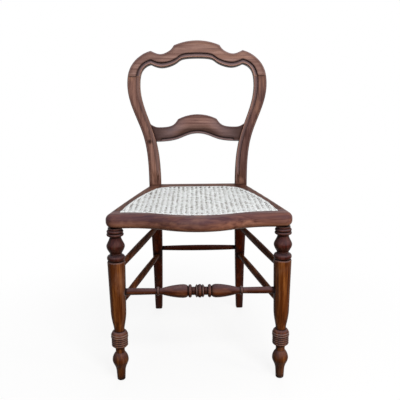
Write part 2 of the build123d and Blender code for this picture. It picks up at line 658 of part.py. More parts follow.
def mid_rail():
    """Shaped mid rail, scribed to the posts and tenoned into them."""
    end_top = MID_RAIL_RISE + MID_RAIL_END_HEIGHT / 2
    end_low = MID_RAIL_RISE - MID_RAIL_END_HEIGHT / 2
    crown = MID_RAIL_RISE + MID_RAIL_CROWN
    step = (MID_RAIL_STEP_X, crown - MID_RAIL_STEP_DROP)
    slope = (MID_RAIL_STEP_X + STEP_RUN, crown - MID_RAIL_STEP_DROP - STEP_FALL)
    end_x = WAIST_INNER_X + MID_TENON_LENGTH
    hollow = (WAIST_INNER_X - MID_TENON_LENGTH, end_top)
    flare = (end_x, end_top + MID_RAIL_FLARE)
    down_step = (-STEP_HEADING[0], -STEP_HEADING[1])
    half = [
        TangentArc((0, crown), step, tangent=(1, 0)),
        Spline(step, slope, hollow, flare, tangents=(down_step, (1, MID_RAIL_FLARE_SLOPE))),
        Line(flare, (end_x, end_low)),
        mid_underside(0),
    ]
    back = MID_RAIL_SET + MID_RAIL_THICKNESS
    rail = softened(on_back(mirrored_face(half), MID_RAIL_SET, back), MID_RAIL_ROUND)
    post_room = on_back(Pos(-SHOULDER_GAP, 0) * post_outline(), -REACH, REACH)
    rail -= post_room
    rail -= flipped(post_room)
    bead = bead_cut(below_mid_rail, MID_RAIL_SET, MID_BEAD_WIDTH, MID_BEAD_DEPTH)
    stop = WAIST_INNER_X - MID_BEAD_STOP
    rail -= bead & block((-stop, -REACH, 0), (stop, REACH, REACH))
    tenon = mid_tenon(0, 0)
    return rail + tenon + flipped(tenon)


# Turned pieces


def turned(half_profile):
    """Solid of revolution about Z from the outer profile, which starts and ends on the axis."""
    first = half_profile[0] @ 0
    last = half_profile[-1] @ 1
    return revolve(Plane.XZ * make_face(half_profile + [Line(last, first)]), axis=Axis.Z)


def leg_radius(z):
    """Radius of the plain shaft of the front leg."""
    share = (z - SHAFT_LOW) / (SHAFT_TOP - SHAFT_LOW)
    return LEG_SHAFT_LOW_RADIUS + share * (LEG_SHAFT_TOP_RADIUS - LEG_SHAFT_LOW_RADIUS)


def leg_head():
    """Profile of the front leg from its tenon down to the plain shaft."""
    top = SEAT_UNDERSIDE
    tip = top + LEG_TENON_LENGTH
    bead = (LEG_COLLAR_RADIUS, top - LEG_COLLAR_HEIGHT)
    ring = (LEG_COLLAR_RADIUS, bead[1] - LEG_BEAD_HEIGHT)
    cove = (LEG_COLLAR_RADIUS, ring[1] - LEG_RING_HEIGHT)
    neck = (LEG_NECK_RADIUS, cove[1] - LEG_NECK_HEIGHT)
    widest = (LEG_PEAR_RADIUS, neck[1] - LEG_PEAR_WIDEST)
    fillet_top = (LEG_FILLET_RADIUS, neck[1] - LEG_PEAR_HEIGHT)
    fillet_low = (LEG_FILLET_RADIUS, fillet_top[1] - LEG_FILLET_HEIGHT)
    hollow = (LEG_HOLLOW_RADIUS, fillet_low[1])
    disc = (LEG_DISC_RADIUS, hollow[1] - LEG_HOLLOW_HEIGHT)
    rim = (LEG_DISC_RADIUS, disc[1] - LEG_DISC_HEIGHT)
    quirk = (LEG_QUIRK_RADIUS, rim[1])
    shoulder = (LEG_QUIRK_RADIUS, rim[1] - LEG_QUIRK_HEIGHT)
    shaft = (LEG_SHAFT_TOP_RADIUS, SHAFT_TOP)
    start = [(0, tip), (LEG_TENON_RADIUS, tip), (LEG_TENON_RADIUS, top)]
    return [
        Polyline(*start, (LEG_COLLAR_RADIUS, top), bead),
        SagittaArc(bead, ring, LEG_BEAD_BULGE),
        SagittaArc(ring, cove, LEG_RING_BULGE),
        SagittaArc(cove, neck, -TURNING_BULGE),
        Spline(neck, widest, fillet_top, tangents=(LEG_PEAR_START, LEG_PEAR_END)),
        Polyline(fillet_top, fillet_low, hollow),
        SagittaArc(hollow, disc, -TURNING_BULGE),
        SagittaArc(disc, rim, LEG_DISC_BULGE),
        Polyline(rim, quirk, shoulder),
        SagittaArc(shoulder, shaft, LEG_SHOULDER_BULGE),
    ]


def leg_tail():
    """Profile of the front leg from the plain shaft down to the foot."""
    shaft = (LEG_SHAFT_LOW_RADIUS, SHAFT_LOW)
    wrist = (LEG_WRIST_RADIUS, SHAFT_LOW - LEG_TAPER_HEIGHT)
    thinning = tuple(a + (b - a) * LEG_TAPER_SHARE for a, b in zip(shaft, wrist))
    cuff = (LEG_CUFF_RADIUS, wrist[1] - LEG_CUFF_SHOULDER)
    valley = LEG_CUFF_RADIUS - LEG_CUFF_GROOVE_DEPTH
    lip = cuff[1] - LEG_CUFF_LIP
    pitch = LEG_CUFF_HEIGHT / LEG_CUFF_BEADS
    valleys = [(valley, lip - bead * pitch) for bead in range(LEG_CUFF_BEADS + 1)]
    beads = [SagittaArc(a, b, LEG_CUFF_GROOVE_DEPTH) for a, b in zip(valleys, valleys[1:])]
    hem = valleys[-1]
    ankle = (LEG_ANKLE_RADIUS, hem[1] - LEG_CUFF_UNDERCUT)
    ball = (LEG_ANKLE_RADIUS, ankle[1] - LEG_ANKLE_HEIGHT)
    widest = (LEG_BALL_RADIUS, ball[1] - LEG_BALL_WIDEST)
    foot = (LEG_ANKLE_RADIUS, LEG_FOOT_HEIGHT)
    sole = LEG_FOOT_RADIUS - LEG_FOOT_ROUND
    return [
        Line((LEG_SHAFT_TOP_RADIUS, SHAFT_TOP), shaft),
        Spline(shaft, thinning, wrist, tangents=(LEG_TAPER_START, (0, -1))),
        Spline(wrist, cuff, tangents=(LEG_CUFF_START, (0, -1))),
        Line(cuff, valleys[0]),
        *beads,
        SagittaArc(hem, ankle, TURNING_BULGE),
        Line(ankle, ball),
        Spline(ball, widest, foot, tangents=(LEG_BALL_START, LEG_BALL_END)),
        Line(foot, (LEG_FOOT_RADIUS, LEG_FOOT_ROUND)),
        SagittaArc((LEG_FOOT_RADIUS, LEG_FOOT_ROUND), (sole, 0), TURNING_BULGE),
        Line((sole, 0), (0, 0)),
    ]


def spindle(length, middle_radius, end_radius, tenon):
    """Plain swelling stretcher along Z between two legs, running on into each as a tenon."""
    profile = [
        Polyline((0, -tenon), (end_radius, -tenon), (end_radius, 0)),
        ThreePointArc((end_radius, 0), (middle_radius, length / 2), (end_radius, length)),
        Polyline((end_radius, length), (end_radius, length + tenon), (0, length + tenon)),
    ]
    return turned(profile)


def socket(mouth, into, radius, tenon):
    """Hole for a stretcher's tenon, from where it leaves the leg."""
    along = Vector(into).normalized()
    depth = tenon + END_CLEARANCE
    start = Vector(mouth) - along * DOWEL_WALL
    return rod(start, Vector(mouth) + along * depth, radius + FIT_CLEARANCE)


def side_stretcher(height):
    """Right-hand side stretcher whose axis meets the front leg at a height, and its sockets."""
    radius = SIDE_STRETCHER_END_RADIUS
    tenon = STRETCHER_TENON_LENGTH
    rear_z = height + SIDE_STRETCHER_CLIMB
    start = Vector(FRONT_LEG_X, LEG_Y, height)
    end = Vector(POST_MID_X, rear_leg_front(rear_z), rear_z)
    along = (end - start).normalized()
    front = start + along * leg_radius(height)
    piece = spindle((end - front).length, SIDE_STRETCHER_RADIUS, radius, tenon)
    piece = Plane(origin=front, z_dir=along) * piece
    return piece, socket(front, -along, radius, tenon), socket(end, along, radius, tenon)


def front_stretcher():
    """Turned front stretcher along X, and its right-hand socket."""
    reach = FRONT_LEG_X - leg_radius(FRONT_STRETCHER_HEIGHT)
    tip = reach + STRETCHER_TENON_LENGTH
    end = FRONT_STRETCHER_END_RADIUS
    low = BARREL_RADIUS - BARREL_GROOVE_DEPTH
    ridge = BARREL_HALF_WIDTH + BARREL_RIDGE_WIDTH / 2
    neck = ridge + BARREL_RIDGE_WIDTH / 2 + BARREL_FLANK_WIDTH
    flange = neck + STRETCHER_NECK_WIDTH
    crown = flange + FLANGE_WIDTH / 2
    bulb = flange + FLANGE_WIDTH
    beads = [
        (BARREL_HALF_WIDTH, low),
        (ridge, BARREL_RADIUS),
        (ridge + BARREL_RIDGE_WIDTH / 2, low),
        (neck, STRETCHER_NECK_RADIUS),
        (flange, STRETCHER_NECK_RADIUS),
    ]
    bulb_points = [
        (bulb, BULB_START_RADIUS),
        (bulb + BULB_WIDEST, BULB_RADIUS),
        (bulb + BULB_LENGTH, BULB_END_RADIUS),
        (reach, end),
    ]
    half = [
        ThreePointArc((-BARREL_HALF_WIDTH, low), (0, BARREL_RADIUS), (BARREL_HALF_WIDTH, low)),
        Polyline(*beads),
        ThreePointArc(beads[-1], (crown, FLANGE_RADIUS), bulb_points[0]),
        Spline(*bulb_points, tangents=(BULB_START, (1, 0))),
        Polyline((reach, end), (tip, end), (tip, 0)),
    ]
    profile = half + [edge.mirror(Plane.YZ) for edge in half[1:]]
    piece = revolve(make_face(profile + [Line((-tip, 0), (tip, 0))]), axis=Axis.X)
    mouth = (reach, LEG_Y, FRONT_STRETCHER_HEIGHT)
    hole = socket(mouth, (1, 0, 0), end, STRETCHER_TENON_LENGTH)
    return Pos(0, LEG_Y, FRONT_STRETCHER_HEIGHT) * piece, hole


def back_stretcher():
    """Plain stretcher between the rear legs, and its right-hand socket."""
    z = BACK_STRETCHER_HEIGHT
    y = rear_leg_front(z) + BACK_STRETCHER_SET
    half = POST_INNER_X
    end = BACK_STRETCHER_END_RADIUS
    tenon = BACK_STRETCHER_TENON_LENGTH
    piece = spindle(2 * half, BACK_STRETCHER_RADIUS, end, tenon)
    piece = Plane(origin=(-half, y, z), z_dir=(1, 0, 0)) * piece
    return piece, socket((half, y, z), (1, 0, 0), end, tenon)


def build():
    """Every piece of the chair, by name."""
    ring, opening = seat_frame()
    front_rail, side_rail, back_rail = seat_rails(ring)
    upper, upper_front, upper_rear = side_stretcher(SEAT_UNDERSIDE - UPPER_STRETCHER_DROP)
    lower, lower_front, lower_rear = side_stretcher(LOWER_STRETCHER_HEIGHT)
    front, front_socket = front_stretcher()
    rear, rear_socket = back_stretcher()
    leg = Pos(FRONT_LEG_X, LEG_Y, 0) * turned(leg_head() + leg_tail())
    leg = leg - upper_front - lower_front - front_socket
    post = back_post([upper_rear, lower_rear, rear_socket])
    pairs = {
        "back_post": post,
        "side_seat_rail": side_rail,
        "front_leg": leg,
        "upper_stretcher": upper,
        "lower_stretcher": lower,
    }
    pieces = {
        "crest_rail": crest_rail(),
        "mid_rail": mid_rail(),
        "front_seat_rail": front_rail,
        "back_seat_rail": back_rail,
        "front_stretcher": front,
        "back_stretcher": rear,
        "seat_weave": woven_panel(opening),
        "weave_binder": weave_binder(opening),
    }
    for name, shape in pairs.items():
        pieces["right_" + name] = shape
        pieces["left_" + name] = flipped(shape)
    dowel_sets = {
        "crest_dowels": crest_dowels(),
        "seat_frame_dowels": seat_dowels(),
        "post_dowels": post_dowels(),
    }
    for name, dowels in dowel_sets.items():
        pins = [pin for pin, hole in dowels]
        pieces[name] = Compound(pins + [flipped(pin) for pin in pins])
    return pieces


os.makedirs("parts", exist_ok=True)
for name, shape in build().items():
    export_step(shape, os.path.join("parts", name + ".step"))
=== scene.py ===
import math

import bmesh
import bpy
from bpy.props import FloatProperty, FloatVectorProperty, IntProperty, PointerProperty
from mathutils import Matrix, Vector


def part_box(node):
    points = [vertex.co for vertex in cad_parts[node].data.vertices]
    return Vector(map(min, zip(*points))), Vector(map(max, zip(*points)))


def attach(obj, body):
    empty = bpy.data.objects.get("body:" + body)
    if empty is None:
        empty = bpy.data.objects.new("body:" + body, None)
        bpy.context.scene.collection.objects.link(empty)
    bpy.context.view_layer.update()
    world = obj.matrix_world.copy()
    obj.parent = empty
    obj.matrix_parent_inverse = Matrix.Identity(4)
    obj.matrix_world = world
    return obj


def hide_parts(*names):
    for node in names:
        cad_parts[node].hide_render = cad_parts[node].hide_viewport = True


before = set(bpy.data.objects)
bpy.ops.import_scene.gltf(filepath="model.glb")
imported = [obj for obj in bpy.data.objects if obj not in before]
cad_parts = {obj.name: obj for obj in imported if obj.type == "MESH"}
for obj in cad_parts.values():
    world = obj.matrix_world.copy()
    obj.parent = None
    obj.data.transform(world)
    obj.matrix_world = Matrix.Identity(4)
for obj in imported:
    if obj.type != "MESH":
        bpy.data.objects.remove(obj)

bl_info = {
    "name": "Woven seat side chair",
    "version": (1, 0, 0),
    "blender": (4, 5, 0),
    "location": "3D View > Sidebar > Chair",
    "description": "Finishes a yoke-back side chair: old timber, turned work, woven cane seat and stage",
    "category": "Object",
}

bpy.context.view_layer.update()
BODY = "root"
SIDES = {"left": -1, "right": 1}


def tone(red, green, blue):
    """Screen colour, 0 to 255, as the linear colour that a shader takes."""
    linear = []
    for part in (red, green, blue):
        share = part / 255
        linear.append(share / 12.92 if share <= 0.04045 else ((share + 0.055) / 1.055) ** 2.4)
    return (*linear, 1.0)


# Settings


def colour_setting(name, description, shade):
    """A colour that can be changed in the sidebar."""
    return FloatVectorProperty(
        name=name, description=description, subtype="COLOR", size=4, min=0, max=1, default=tone(*shade))


def length_setting(name, description, low, high, size):
    """A length in metres, between two limits."""
    return FloatProperty(name=name, description=description, unit="LENGTH", min=low, max=high, default=size)


def share_setting(name, description, share):
    """A strength from none to full."""
    return FloatProperty(name=name, description=description, subtype="FACTOR", min=0, max=1, default=share)


def angle_setting(name, description, degrees):
    """An angle."""
    return FloatProperty(name=name, description=description, subtype="ANGLE", default=math.radians(degrees))


def power_setting(name, description, watts):
    """The power of a lamp."""
    return FloatProperty(name=name, description=description, unit="POWER", min=0, default=watts)


class ChairTimber(bpy.types.PropertyGroup):
    """Colours and finish of the old timber."""

    back_dark: colour_setting("Back, dark grain", "Dark grain of the back", (94, 66, 57))
    back_middle: colour_setting("Back, body", "Body colour of the back", (136, 104, 93))
    back_light: colour_setting("Back, light grain", "Light grain of the back", (170, 137, 124))
    rail_dark: colour_setting("Seat rails, dark grain", "Dark grain of the seat rails", (76, 42, 28))
    rail_middle: colour_setting("Seat rails, body", "Body colour of the seat rails", (132, 86, 67))
    rail_light: colour_setting("Seat rails, light grain", "Light grain of the seat rails", (154, 104, 80))
    turned_dark: colour_setting("Leg tops, dark grain", "Dark grain of the turned leg tops", (26, 6, 3))
    turned_middle: colour_setting("Leg tops, body", "Body colour of the turned leg tops", (58, 18, 10))
    turned_light: colour_setting("Leg tops, light grain", "Light grain of the turned leg tops", (88, 44, 36))
    leg_dark: colour_setting("Legs, dark grain", "Dark grain of the legs and stretchers", (47, 19, 4))
    leg_middle: colour_setting("Legs, body", "Body colour of the legs and stretchers", (94, 46, 14))
    leg_light: colour_setting("Legs, light grain", "Light grain of the legs and stretchers", (142, 87, 41))
    # The rear legs' colours are partly their darker tone and partly painted shade under the seat
    shade_dark: colour_setting("Rear legs, dark grain", "Dark grain of the rear legs", (42, 9, 0))
    shade_middle: colour_setting("Rear legs, body", "Body colour of the rear legs", (77, 24, 1))
    shade_light: colour_setting("Rear legs, light grain", "Light grain of the rear legs", (106, 43, 8))
    # The next three colours are painted sheen: grey reflection of the light from above, laid as colour on
    # what faces up
    bloom: colour_setting("Bloom", "Grey bloom of the old polish on surfaces that face up", (122, 100, 106))
    rail_bloom: colour_setting("Rail bloom", "Darker bloom on top of the front rail", (72, 57, 69))
    leg_bloom: colour_setting("Leg bloom", "Bluer bloom on the turned work", (104, 86, 92))
    # Painted sheen on the bead: its slope faces up and catches the light from above
    bead: colour_setting("Bead", "Greyed polish on the sloping bead round the back", (126, 106, 108))
    # Painted highlight on the upper side of each turned ring
    crown: colour_setting("Ring crowns", "Polish rubbed pale on the turned rings", (144, 127, 124))
    # Painted shade: this colour darkens what faces down, and what faces left and right
    under: colour_setting("Unfaded", "Colour kept by surfaces that face down", (48, 26, 13))
    # Painted shade along the outer edges, which makes the flat faces look rounded
    rim: colour_setting("Edges", "Darker polish left along the outer edges", (60, 38, 34))
    # The next two colours are painted shade on the mid rail: above its bead, and towards the posts at its
    # ends
    smoke: colour_setting("Smoked", "Darkened timber of the mid rail, above its bead", (58, 40, 34))
    haze: colour_setting("Haze", "Greyed timber towards the ends of the mid rail", (96, 84, 88))
    worn: colour_setting("Worn timber", "Bare timber where the finish has rubbed away", (190, 142, 116))
    # Old polish in the hollows and painted shade in grooves and corners; it also draws the dark joints,
    # marks and pores
    grime: colour_setting("Grime", "Old polish and dirt left in grooves and corners", (20, 12, 12))
    gloss: share_setting("Gloss", "Strength of the reflection on the back and the front rail", 0.04)
    dull_gloss: share_setting("Dull gloss", "Strength of the reflection where least polish is left", 0.012)
    leg_gloss: share_setting("Leg gloss", "Strength of the reflection on the turned work", 0.04)

    def grain(self, wood):
        """Dark, body and light colour of a kind of timber."""
        return [getattr(self, wood + "_" + shade) for shade in ("dark", "middle", "light")]


class ChairRings(bpy.types.PropertyGroup):
    """Sizes of the small turned rings on the front stretcher and on the cuffs of the front legs."""

    place: length_setting("Ring place", "Distance of a ring from the stretcher's middle", 0.09, 0.17, 0.105)
    radius: length_setting("Ring radius", "Radius of a ring at its crown", 0.01, 0.015, 0.0113)
    width: length_setting("Ring width", "Width of a ring along the stretcher", 0.003, 0.012, 0.0068)
    cuff_height: length_setting("Cuff ring height", "Height of a cuff's lower ring", 0.1, 0.14, 0.1213)
    cuff_radius: length_setting("Cuff ring radius", "Radius of that ring at its crown", 0.02, 0.025, 0.022)
    cuff_width: length_setting("Cuff ring width", "Height of each ring on a cuff", 0.003, 0.008, 0.0056)
    cuff_step: length_setting("Cuff step", "How much smaller a cuff's upper ring is", 0, 0.002, 0.0003)


class ChairCane(bpy.types.PropertyGroup):
    """Sizes and colours of the woven seat."""

    pitch: length_setting("Pitch", "Distance from one pair of strands to the next", 0.008, 0.03, 0.0129)
    pair_gap: length_setting("Pair spacing", "Distance between the strands of a pair", 0.002, 0.008, 0.0034)
    strand_width: length_setting("Strand width", "Width of the straight strands", 0.001, 0.006, 0.003)
    diagonal_width: length_setting("Diagonal width", "Width of the diagonal strands", 0.001, 0.006, 0.0026)
    thickness: length_setting("Thickness", "Thickness of a strand", 0.0002, 0.002, 0.0013)
    crown: length_setting("Crown", "Height of a strand's middle above its edges", 0, 0.001, 0.0002)
    lift: length_setting("Lift", "Rise and dip of a straight strand at a crossing", 0, 0.002, 0.0005)
    diagonal_lift: length_setting("Diagonal lift", "Rise and dip of a diagonal strand", 0, 0.003, 0.0009)
    sag: length_setting("Sag", "How far the middle of the seat hangs below its edge", 0, 0.01, 0.0015)
    climb: length_setting("Climb", "Length in which strands climb on to the binder", 0.002, 0.02, 0.006)
    binder_crown: length_setting("Binder crown", "How far the binder's middle rises", 0, 0.003, 0.0004)
    colour: colour_setting("Cane", "Body colour of the cane", (246, 251, 253))
    dark: colour_setting("Cane, dark fibre", "Fibres and strands that have darkened", (204, 204, 198))
    dust: colour_setting("Cane, dust", "Dust and shade settled between the strands", (96, 80, 68))


class ChairStage(bpy.types.PropertyGroup):
    """Camera, lamps and floor."""

    eye: FloatVectorProperty(
        name="Camera", description="Place of the camera",
        subtype="TRANSLATION", unit="LENGTH", size=3, default=(-0.008, -1.4955, 0.774))
    pitch: angle_setting("Pitch", "How far the camera looks down", 12.93)
    yaw: angle_setting("Yaw", "How far the camera is turned to its right", 0.467)
    roll: angle_setting("Roll", "How far the picture is turned", 0.52)
    focal: FloatProperty(
        name="Focal length", description="Focal length in pixels of the picture",
        min=50, max=5000, default=549)
    picture: IntProperty(
        name="Picture width", description="Width of the picture in pixels",
        subtype="PIXEL", min=16, default=400)
    sensor: FloatProperty(
        name="Sensor", description="Width of the camera's sensor in millimetres",
        min=1, max=100, default=36)
    key_power: power_setting("Front lamp", "Power of the broad lamp above the camera", 50)
    top_power: power_setting("Top lamp", "Power of the lamp over the chair", 11)
    side_power: power_setting("Side lamp", "Power of the warm lamp on the right", 13)
    back_power: power_setting("Back lamp", "Power of the broad lamp behind the chair", 16)
    room: FloatProperty(
        name="Room light", description="Light from all round the chair",
        min=0, max=2, default=0.2)
    floor: colour_setting("Floor", "Colour of the floor", (248, 248, 248))
    floor_bounce: colour_setting("Floor bounce", "Colour of the light off the floor", (120, 116, 112))


class ChairSettings(bpy.types.PropertyGroup):
    """Everything that can be changed on the chair."""

    timber: PointerProperty(name="Timber", description="Old timber", type=ChairTimber)
    rings: PointerProperty(name="Rings", description="Small turned rings", type=ChairRings)
    cane: PointerProperty(name="Cane", description="Woven seat", type=ChairCane)
    stage: PointerProperty(name="Stage", description="Camera, lamps and floor", type=ChairStage)


def settings():
    """The settings of the scene in hand."""
    return bpy.context.scene.side_chair


# Material helpers

NOISE_ROUGHNESS = 0.6
HOLLOW_SAMPLES = 8


def new_material(name):
    """An empty node material with its surface shader, ready to wire."""
    material = bpy.data.materials.new(name)
    material.use_nodes = True
    tree = material.node_tree
    tree.nodes.clear()
    shader = tree.nodes.new("ShaderNodeBsdfPrincipled")
    output = tree.nodes.new("ShaderNodeOutputMaterial")
    tree.links.new(shader.outputs["BSDF"], output.inputs["Surface"])
    return material, tree, shader


def wired(tree, kind, sockets, **fields):
    """A new node with its fields set, and each socket wired to another or set."""
    node = tree.nodes.new(kind)
    for field, value in fields.items():
        setattr(node, field, value)
    for key, value in sockets.items():
        if isinstance(value, bpy.types.NodeSocket):
            tree.links.new(value, node.inputs[key])
        else:
            node.inputs[key].default_value = value
    return node


def mapped(tree, place, turn=(0, 0, 0), scale=(1, 1, 1), shift=(0, 0, 0)):
    """Coordinates turned, stretched and moved."""
    sockets = {"Vector": place, "Location": shift, "Rotation": turn, "Scale": scale}
    return wired(tree, "ShaderNodeMapping", sockets).outputs["Vector"]


def clouded(tree, place, scale, detail, distortion=0.0):
    """Noise over coordinates stretched by a scale for each axis, per metre."""
    sockets = {"Vector": mapped(tree, place, scale=scale), "Scale": 1.0, "Detail": detail,
               "Roughness": NOISE_ROUGHNESS, "Distortion": distortion}
    return wired(tree, "ShaderNodeTexNoise", sockets).outputs[0]


def ranged(tree, value, low, high, start=0.0, end=1.0):
    """A value brought from one range to another and held inside it."""
    sockets = {"Value": value, "From Min": low, "From Max": high, "To Min": start, "To Max": end}
    return wired(tree, "ShaderNodeMapRange", sockets, clamp=True).outputs["Result"]


def worked(tree, operation, *values):
    """Sum, difference or other result of one or two values."""
    return wired(tree, "ShaderNodeMath", dict(enumerate(values)), operation=operation).outputs["Value"]


def times(tree, first, *others):
    """Product of values."""
    for other in others:
        first = worked(tree, "MULTIPLY", first, other)
    return first


def vector_node(tree, operation, *vectors):
    """A node that works on one to three vectors."""
    return wired(tree, "ShaderNodeVectorMath", dict(enumerate(vectors)), operation=operation)


def measured(tree, operation, *vectors):
    """A number worked out from vectors, such as a distance."""
    return vector_node(tree, operation, *vectors).outputs["Value"]


def steered(tree, operation, *vectors):
    """A vector worked out from others."""
    return vector_node(tree, operation, *vectors).outputs["Vector"]


def part_of(tree, vector, axis):
    """One part of a vector."""
    return wired(tree, "ShaderNodeSeparateXYZ", {"Vector": vector}).outputs[axis]


def mixed(tree, factor, first, second, mode="MIX"):
    """One colour laid over another."""
    sockets = {0: factor, 6: first, 7: second}
    return wired(tree, "ShaderNodeMix", sockets, data_type="RGBA", blend_type=mode).outputs[2]


def graded(tree, value, colours):
    """Colours spread evenly over a value."""
    node = wired(tree, "ShaderNodeValToRGB", {"Fac": value})
    stops = node.color_ramp.elements
    stops[0].color = colours[0]
    stops[1].color = colours[-1]
    for index in range(1, len(colours) - 1):
        stops.new(index / (len(colours) - 1)).color = colours[index]
    return node.outputs["Color"]


def hollows(tree, reach, inside=False, normal=None):
    """How open the surface is, within a reach, from outside or from within the piece."""
    sockets = {"Distance": reach}
    if normal is not None:
        sockets["Normal"] = normal
    node = wired(tree, "ShaderNodeAmbientOcclusion", sockets,
                 samples=HOLLOW_SAMPLES, inside=inside, only_local=inside)
    return node.outputs["AO"]


def leant(tree, normal, toward, way, share):
    """A surface's normal, leant some of the way over to another direction."""
    aside = steered(tree, "NORMALIZE", steered(tree, "MULTIPLY", toward, way))
    return steered(tree, "NORMALIZE", steered(tree, "MULTIPLY_ADD", aside, (share, share, share), normal))


def emboss(tree, shader, relief, strength, depth):
    """Fine relief of a surface, of a strength and a depth in metres."""
    bump = wired(tree, "ShaderNodeBump", {"Height": relief, "Strength": strength, "Distance": depth})
    tree.links.new(bump.outputs["Normal"], shader.inputs["Normal"])


def seen_rays(tree):
    """1 for rays from the eye, in reflections and through glass, and 0 for rays that carry light."""
    rays = tree.nodes.new("ShaderNodeLightPath").outputs
    seen = worked(tree, "MAXIMUM", rays["Is Camera Ray"], rays["Is Glossy Ray"])
    return worked(tree, "MAXIMUM", seen, rays["Is Transmission Ray"])


# Places on the chair, in metres, and directions

ALONG_X = (0, 0, 0)
ALONG_Y = (0, 0, math.radians(-90))
ALONG_Z = (0, math.radians(90), 0)
ACROSS = (1, 0, 0)
BACK_RAKE = math.radians(12.5)
UP_THE_BACK = (BACK_RAKE, math.radians(90), 0)
UP = (0, math.sin(BACK_RAKE), math.cos(BACK_RAKE))
BACK_FACE = (0, -math.cos(BACK_RAKE), math.sin(BACK_RAKE))
BACK_FOOT = (0, 0.13845, 0.445)  # where the plane of the back meets the level of the seat
OPENING_RISE = 0.25  # middle of the upper opening, up the back from there
SHOULDER_RISE = 0.33  # joint of the posts and the crest, up the back from there
SHOULDER_LINE = 0.0012  # half width of the dark line at that joint
MID_RAIL_ARCH = 0.029  # rise of the mid rail's lower edge in its middle
PEG_MARK = ((-0.1445, 0.167, 0.5755), 0.009)  # dark mark on the left post beside the mid rail
TURNED_DROP = 0.083  # length of the legs' turned tops, below the front rail
COLOUR_STEP = 0.001  # height above and below there in which the legs change colour
SOCKET_DEPTH = 0.012  # how far the front stretcher goes into the legs
SOCKET_RADII = {"left": 0.013, "right": 0.016}  # dark marks round its ends
SOCKET_LINES = {"left": 0.005, "right": 0.007}  # half widths of the dark lines on its ends
REAR_SOCKET_DEPTH = 0.009  # how far the back stretcher goes into the rear legs
REAR_LINE = 0.008  # half width of the dark line on each of its ends
REAR_MARK = (0.012, 0.005)  # forward and down from its axis to a dark mark on each rear leg
REAR_MARK_RADIUS = 0.013
SIDE_END = (0.008, 0.016, 0.009)  # from a lower stretcher's box to the middle of its rear end
SIDE_END_RADIUS = 0.02  # dark mark round that end

# Timber

NOISES = {  # stretch per metre along and across the grain, detail and distortion
    "grain": ((7, 150, 150), 5, 0.4),
    "broad": ((2.2, 30, 30), 3, 1.2),
    "streaks": ((3.5, 55, 55), 3, 0.6),
    "patches": ((9, 16, 16), 4, 0.5),
    "pores": ((45, 1100, 1100), 2),
}
SEED_SHIFT = (1.7, 0.9, 2.3)  # metres that a seed of 1 moves them

LOOKS = {  # what a look follows, where it starts and is full, and for some its strength at each
    "grain": ("grain", 0.3, 0.7),
    "dark bands": ("broad", 0.5, 0.72, 0, 0.75),
    "rubbed streaks": ("streaks", 0.55, 0.72, 0, 0.8),
    "rubbed patches": ("patches", 0.54, 0.7, 0, 0.8),
    "bloom patches": ("patches", 0.35, 0.6, 0.6, 1),
    "haze patches": ("patches", 0.3, 0.6, 0.5, 0.9),
    "dull patches": ("patches", 0.3, 0.7, 0.32, 0.46),
    "dull pores": ("pores", 0.6, 0.8, 0, 0.2),
    "dark pores": ("pores", 0.6, 0.75, 0, 0.4),
    "underside": ("facing up", -0.15, -0.7),
    "ring crowns": ("facing up", -0.4, 0.2),
    "sides": ("facing aside", 0.5, 0.95),
    "inner side": ("facing in", -0.03, -0.005),
    "flat face": ("facing as the back", 0.97, 0.99),
    "bead top": ("facing as the back", 0.985, 0.965),
    "bead edge": ("facing as the back", 0.84, 0.9),
    "above seat": ("height", 0.44, 0.46),
    "scuffs": ("height", 0.1, 0.03),
    "haze": ("aside", 0.03, 0.08),
    "smoked ends": ("aside", 0.08, 0.12, 0, 0.7),
    "smoked band": ("above arch", 0.03, 0.012, 0, 0.85),
}
ARCH_FALL = (0.02, 0.085)  # distances from the middle between which an arch comes down

# How open the surface is, from where a look starts to where it is full

RIM_OPEN = (0.95, 0.6)
DIRT_OPEN = (0.92, 0.5)
CROWN_OPEN = (0.92, 0.7)
GROOVE_OPEN = (0.92, 0.6)
QUIRK_OPEN = (0.9, 0.7)
LIP_OPEN = (0.93, 0.62)
EDGE_REACH = 0.004  # of crowns, quirks and lips
GROOVE_REACH = 0.003
RIM_LEAN = 0.8  # lean towards the opening in finding the outer edges
RIM_LEFT = 0.25  # share of the dark edges that is left where they fade
MARK_STRENGTH = 0.85
MARK_SPAN = (1.4, 0.6)  # radii at which a mark starts and is full
PORE_DEPTH = -0.6  # against the grain's relief
TIMBER_RELIEF = (0.3, 0.0006)  # strength and depth

AGE = {
    "low_colours": None,  # grain colours lower down
    "low_range": (0.46, 0.4),  # heights between which they take over
    "tint": None,  # colour that the grain is multiplied by
    "wear": 0.5,  # rubbed patches and streaks
    "low_wear": 1.0,  # share of them lower down
    "bloom": 0.5,  # painted sheen on what faces up
    "bloom_colour": None,  # where it isn't the usual one
    "bloom_range": (0.05, 0.8),  # how far up a surface faces, from none of the painted sheen to all of it
    "under": 0.8,  # painted shade on what faces down
    "sides": 0.0,  # painted shade on what faces left and right
    "middle": None,  # middle of the opening, for pieces with a bead round it
    "bead": 0.0,  # painted sheen on that bead
    "lip": 0.0,  # bare edge between that bead and the opening
    "quirk": 0.0,  # painted shade, with old polish, on the edge of the face beside that bead
    "rim": 0.6,  # painted shade along the outer edges
    "rim_reach": 0.006,  # how far in they go
    "rim_way": (1, 1, 1),  # directions that count in finding the outer side
    "rim_fade": None,  # heights between which the outer edges lose most of their dark
    "crown": 0.0,  # painted highlights on the crowns of turned rings
    "top_crown": 1.0,  # share of that above the low colours
    "grooves": 0.0,  # black in the fine grooves of turned work: old polish there and painted shade
    "soil": 0.016,  # reach of the darkening in corners: old polish there and painted shade
    "dirt": 1.0,  # how black it is
    "scuffs": 0.0,  # darkening towards the floor
    "gloss": 0.04,  # strength of the reflection
    "joints": (),  # dark lines, as direction, distance and half width
    "marks": (),  # dark marks, as place and radius
    "arch": None,  # foot of a band of painted shade, as its height in the middle and at the ends
}


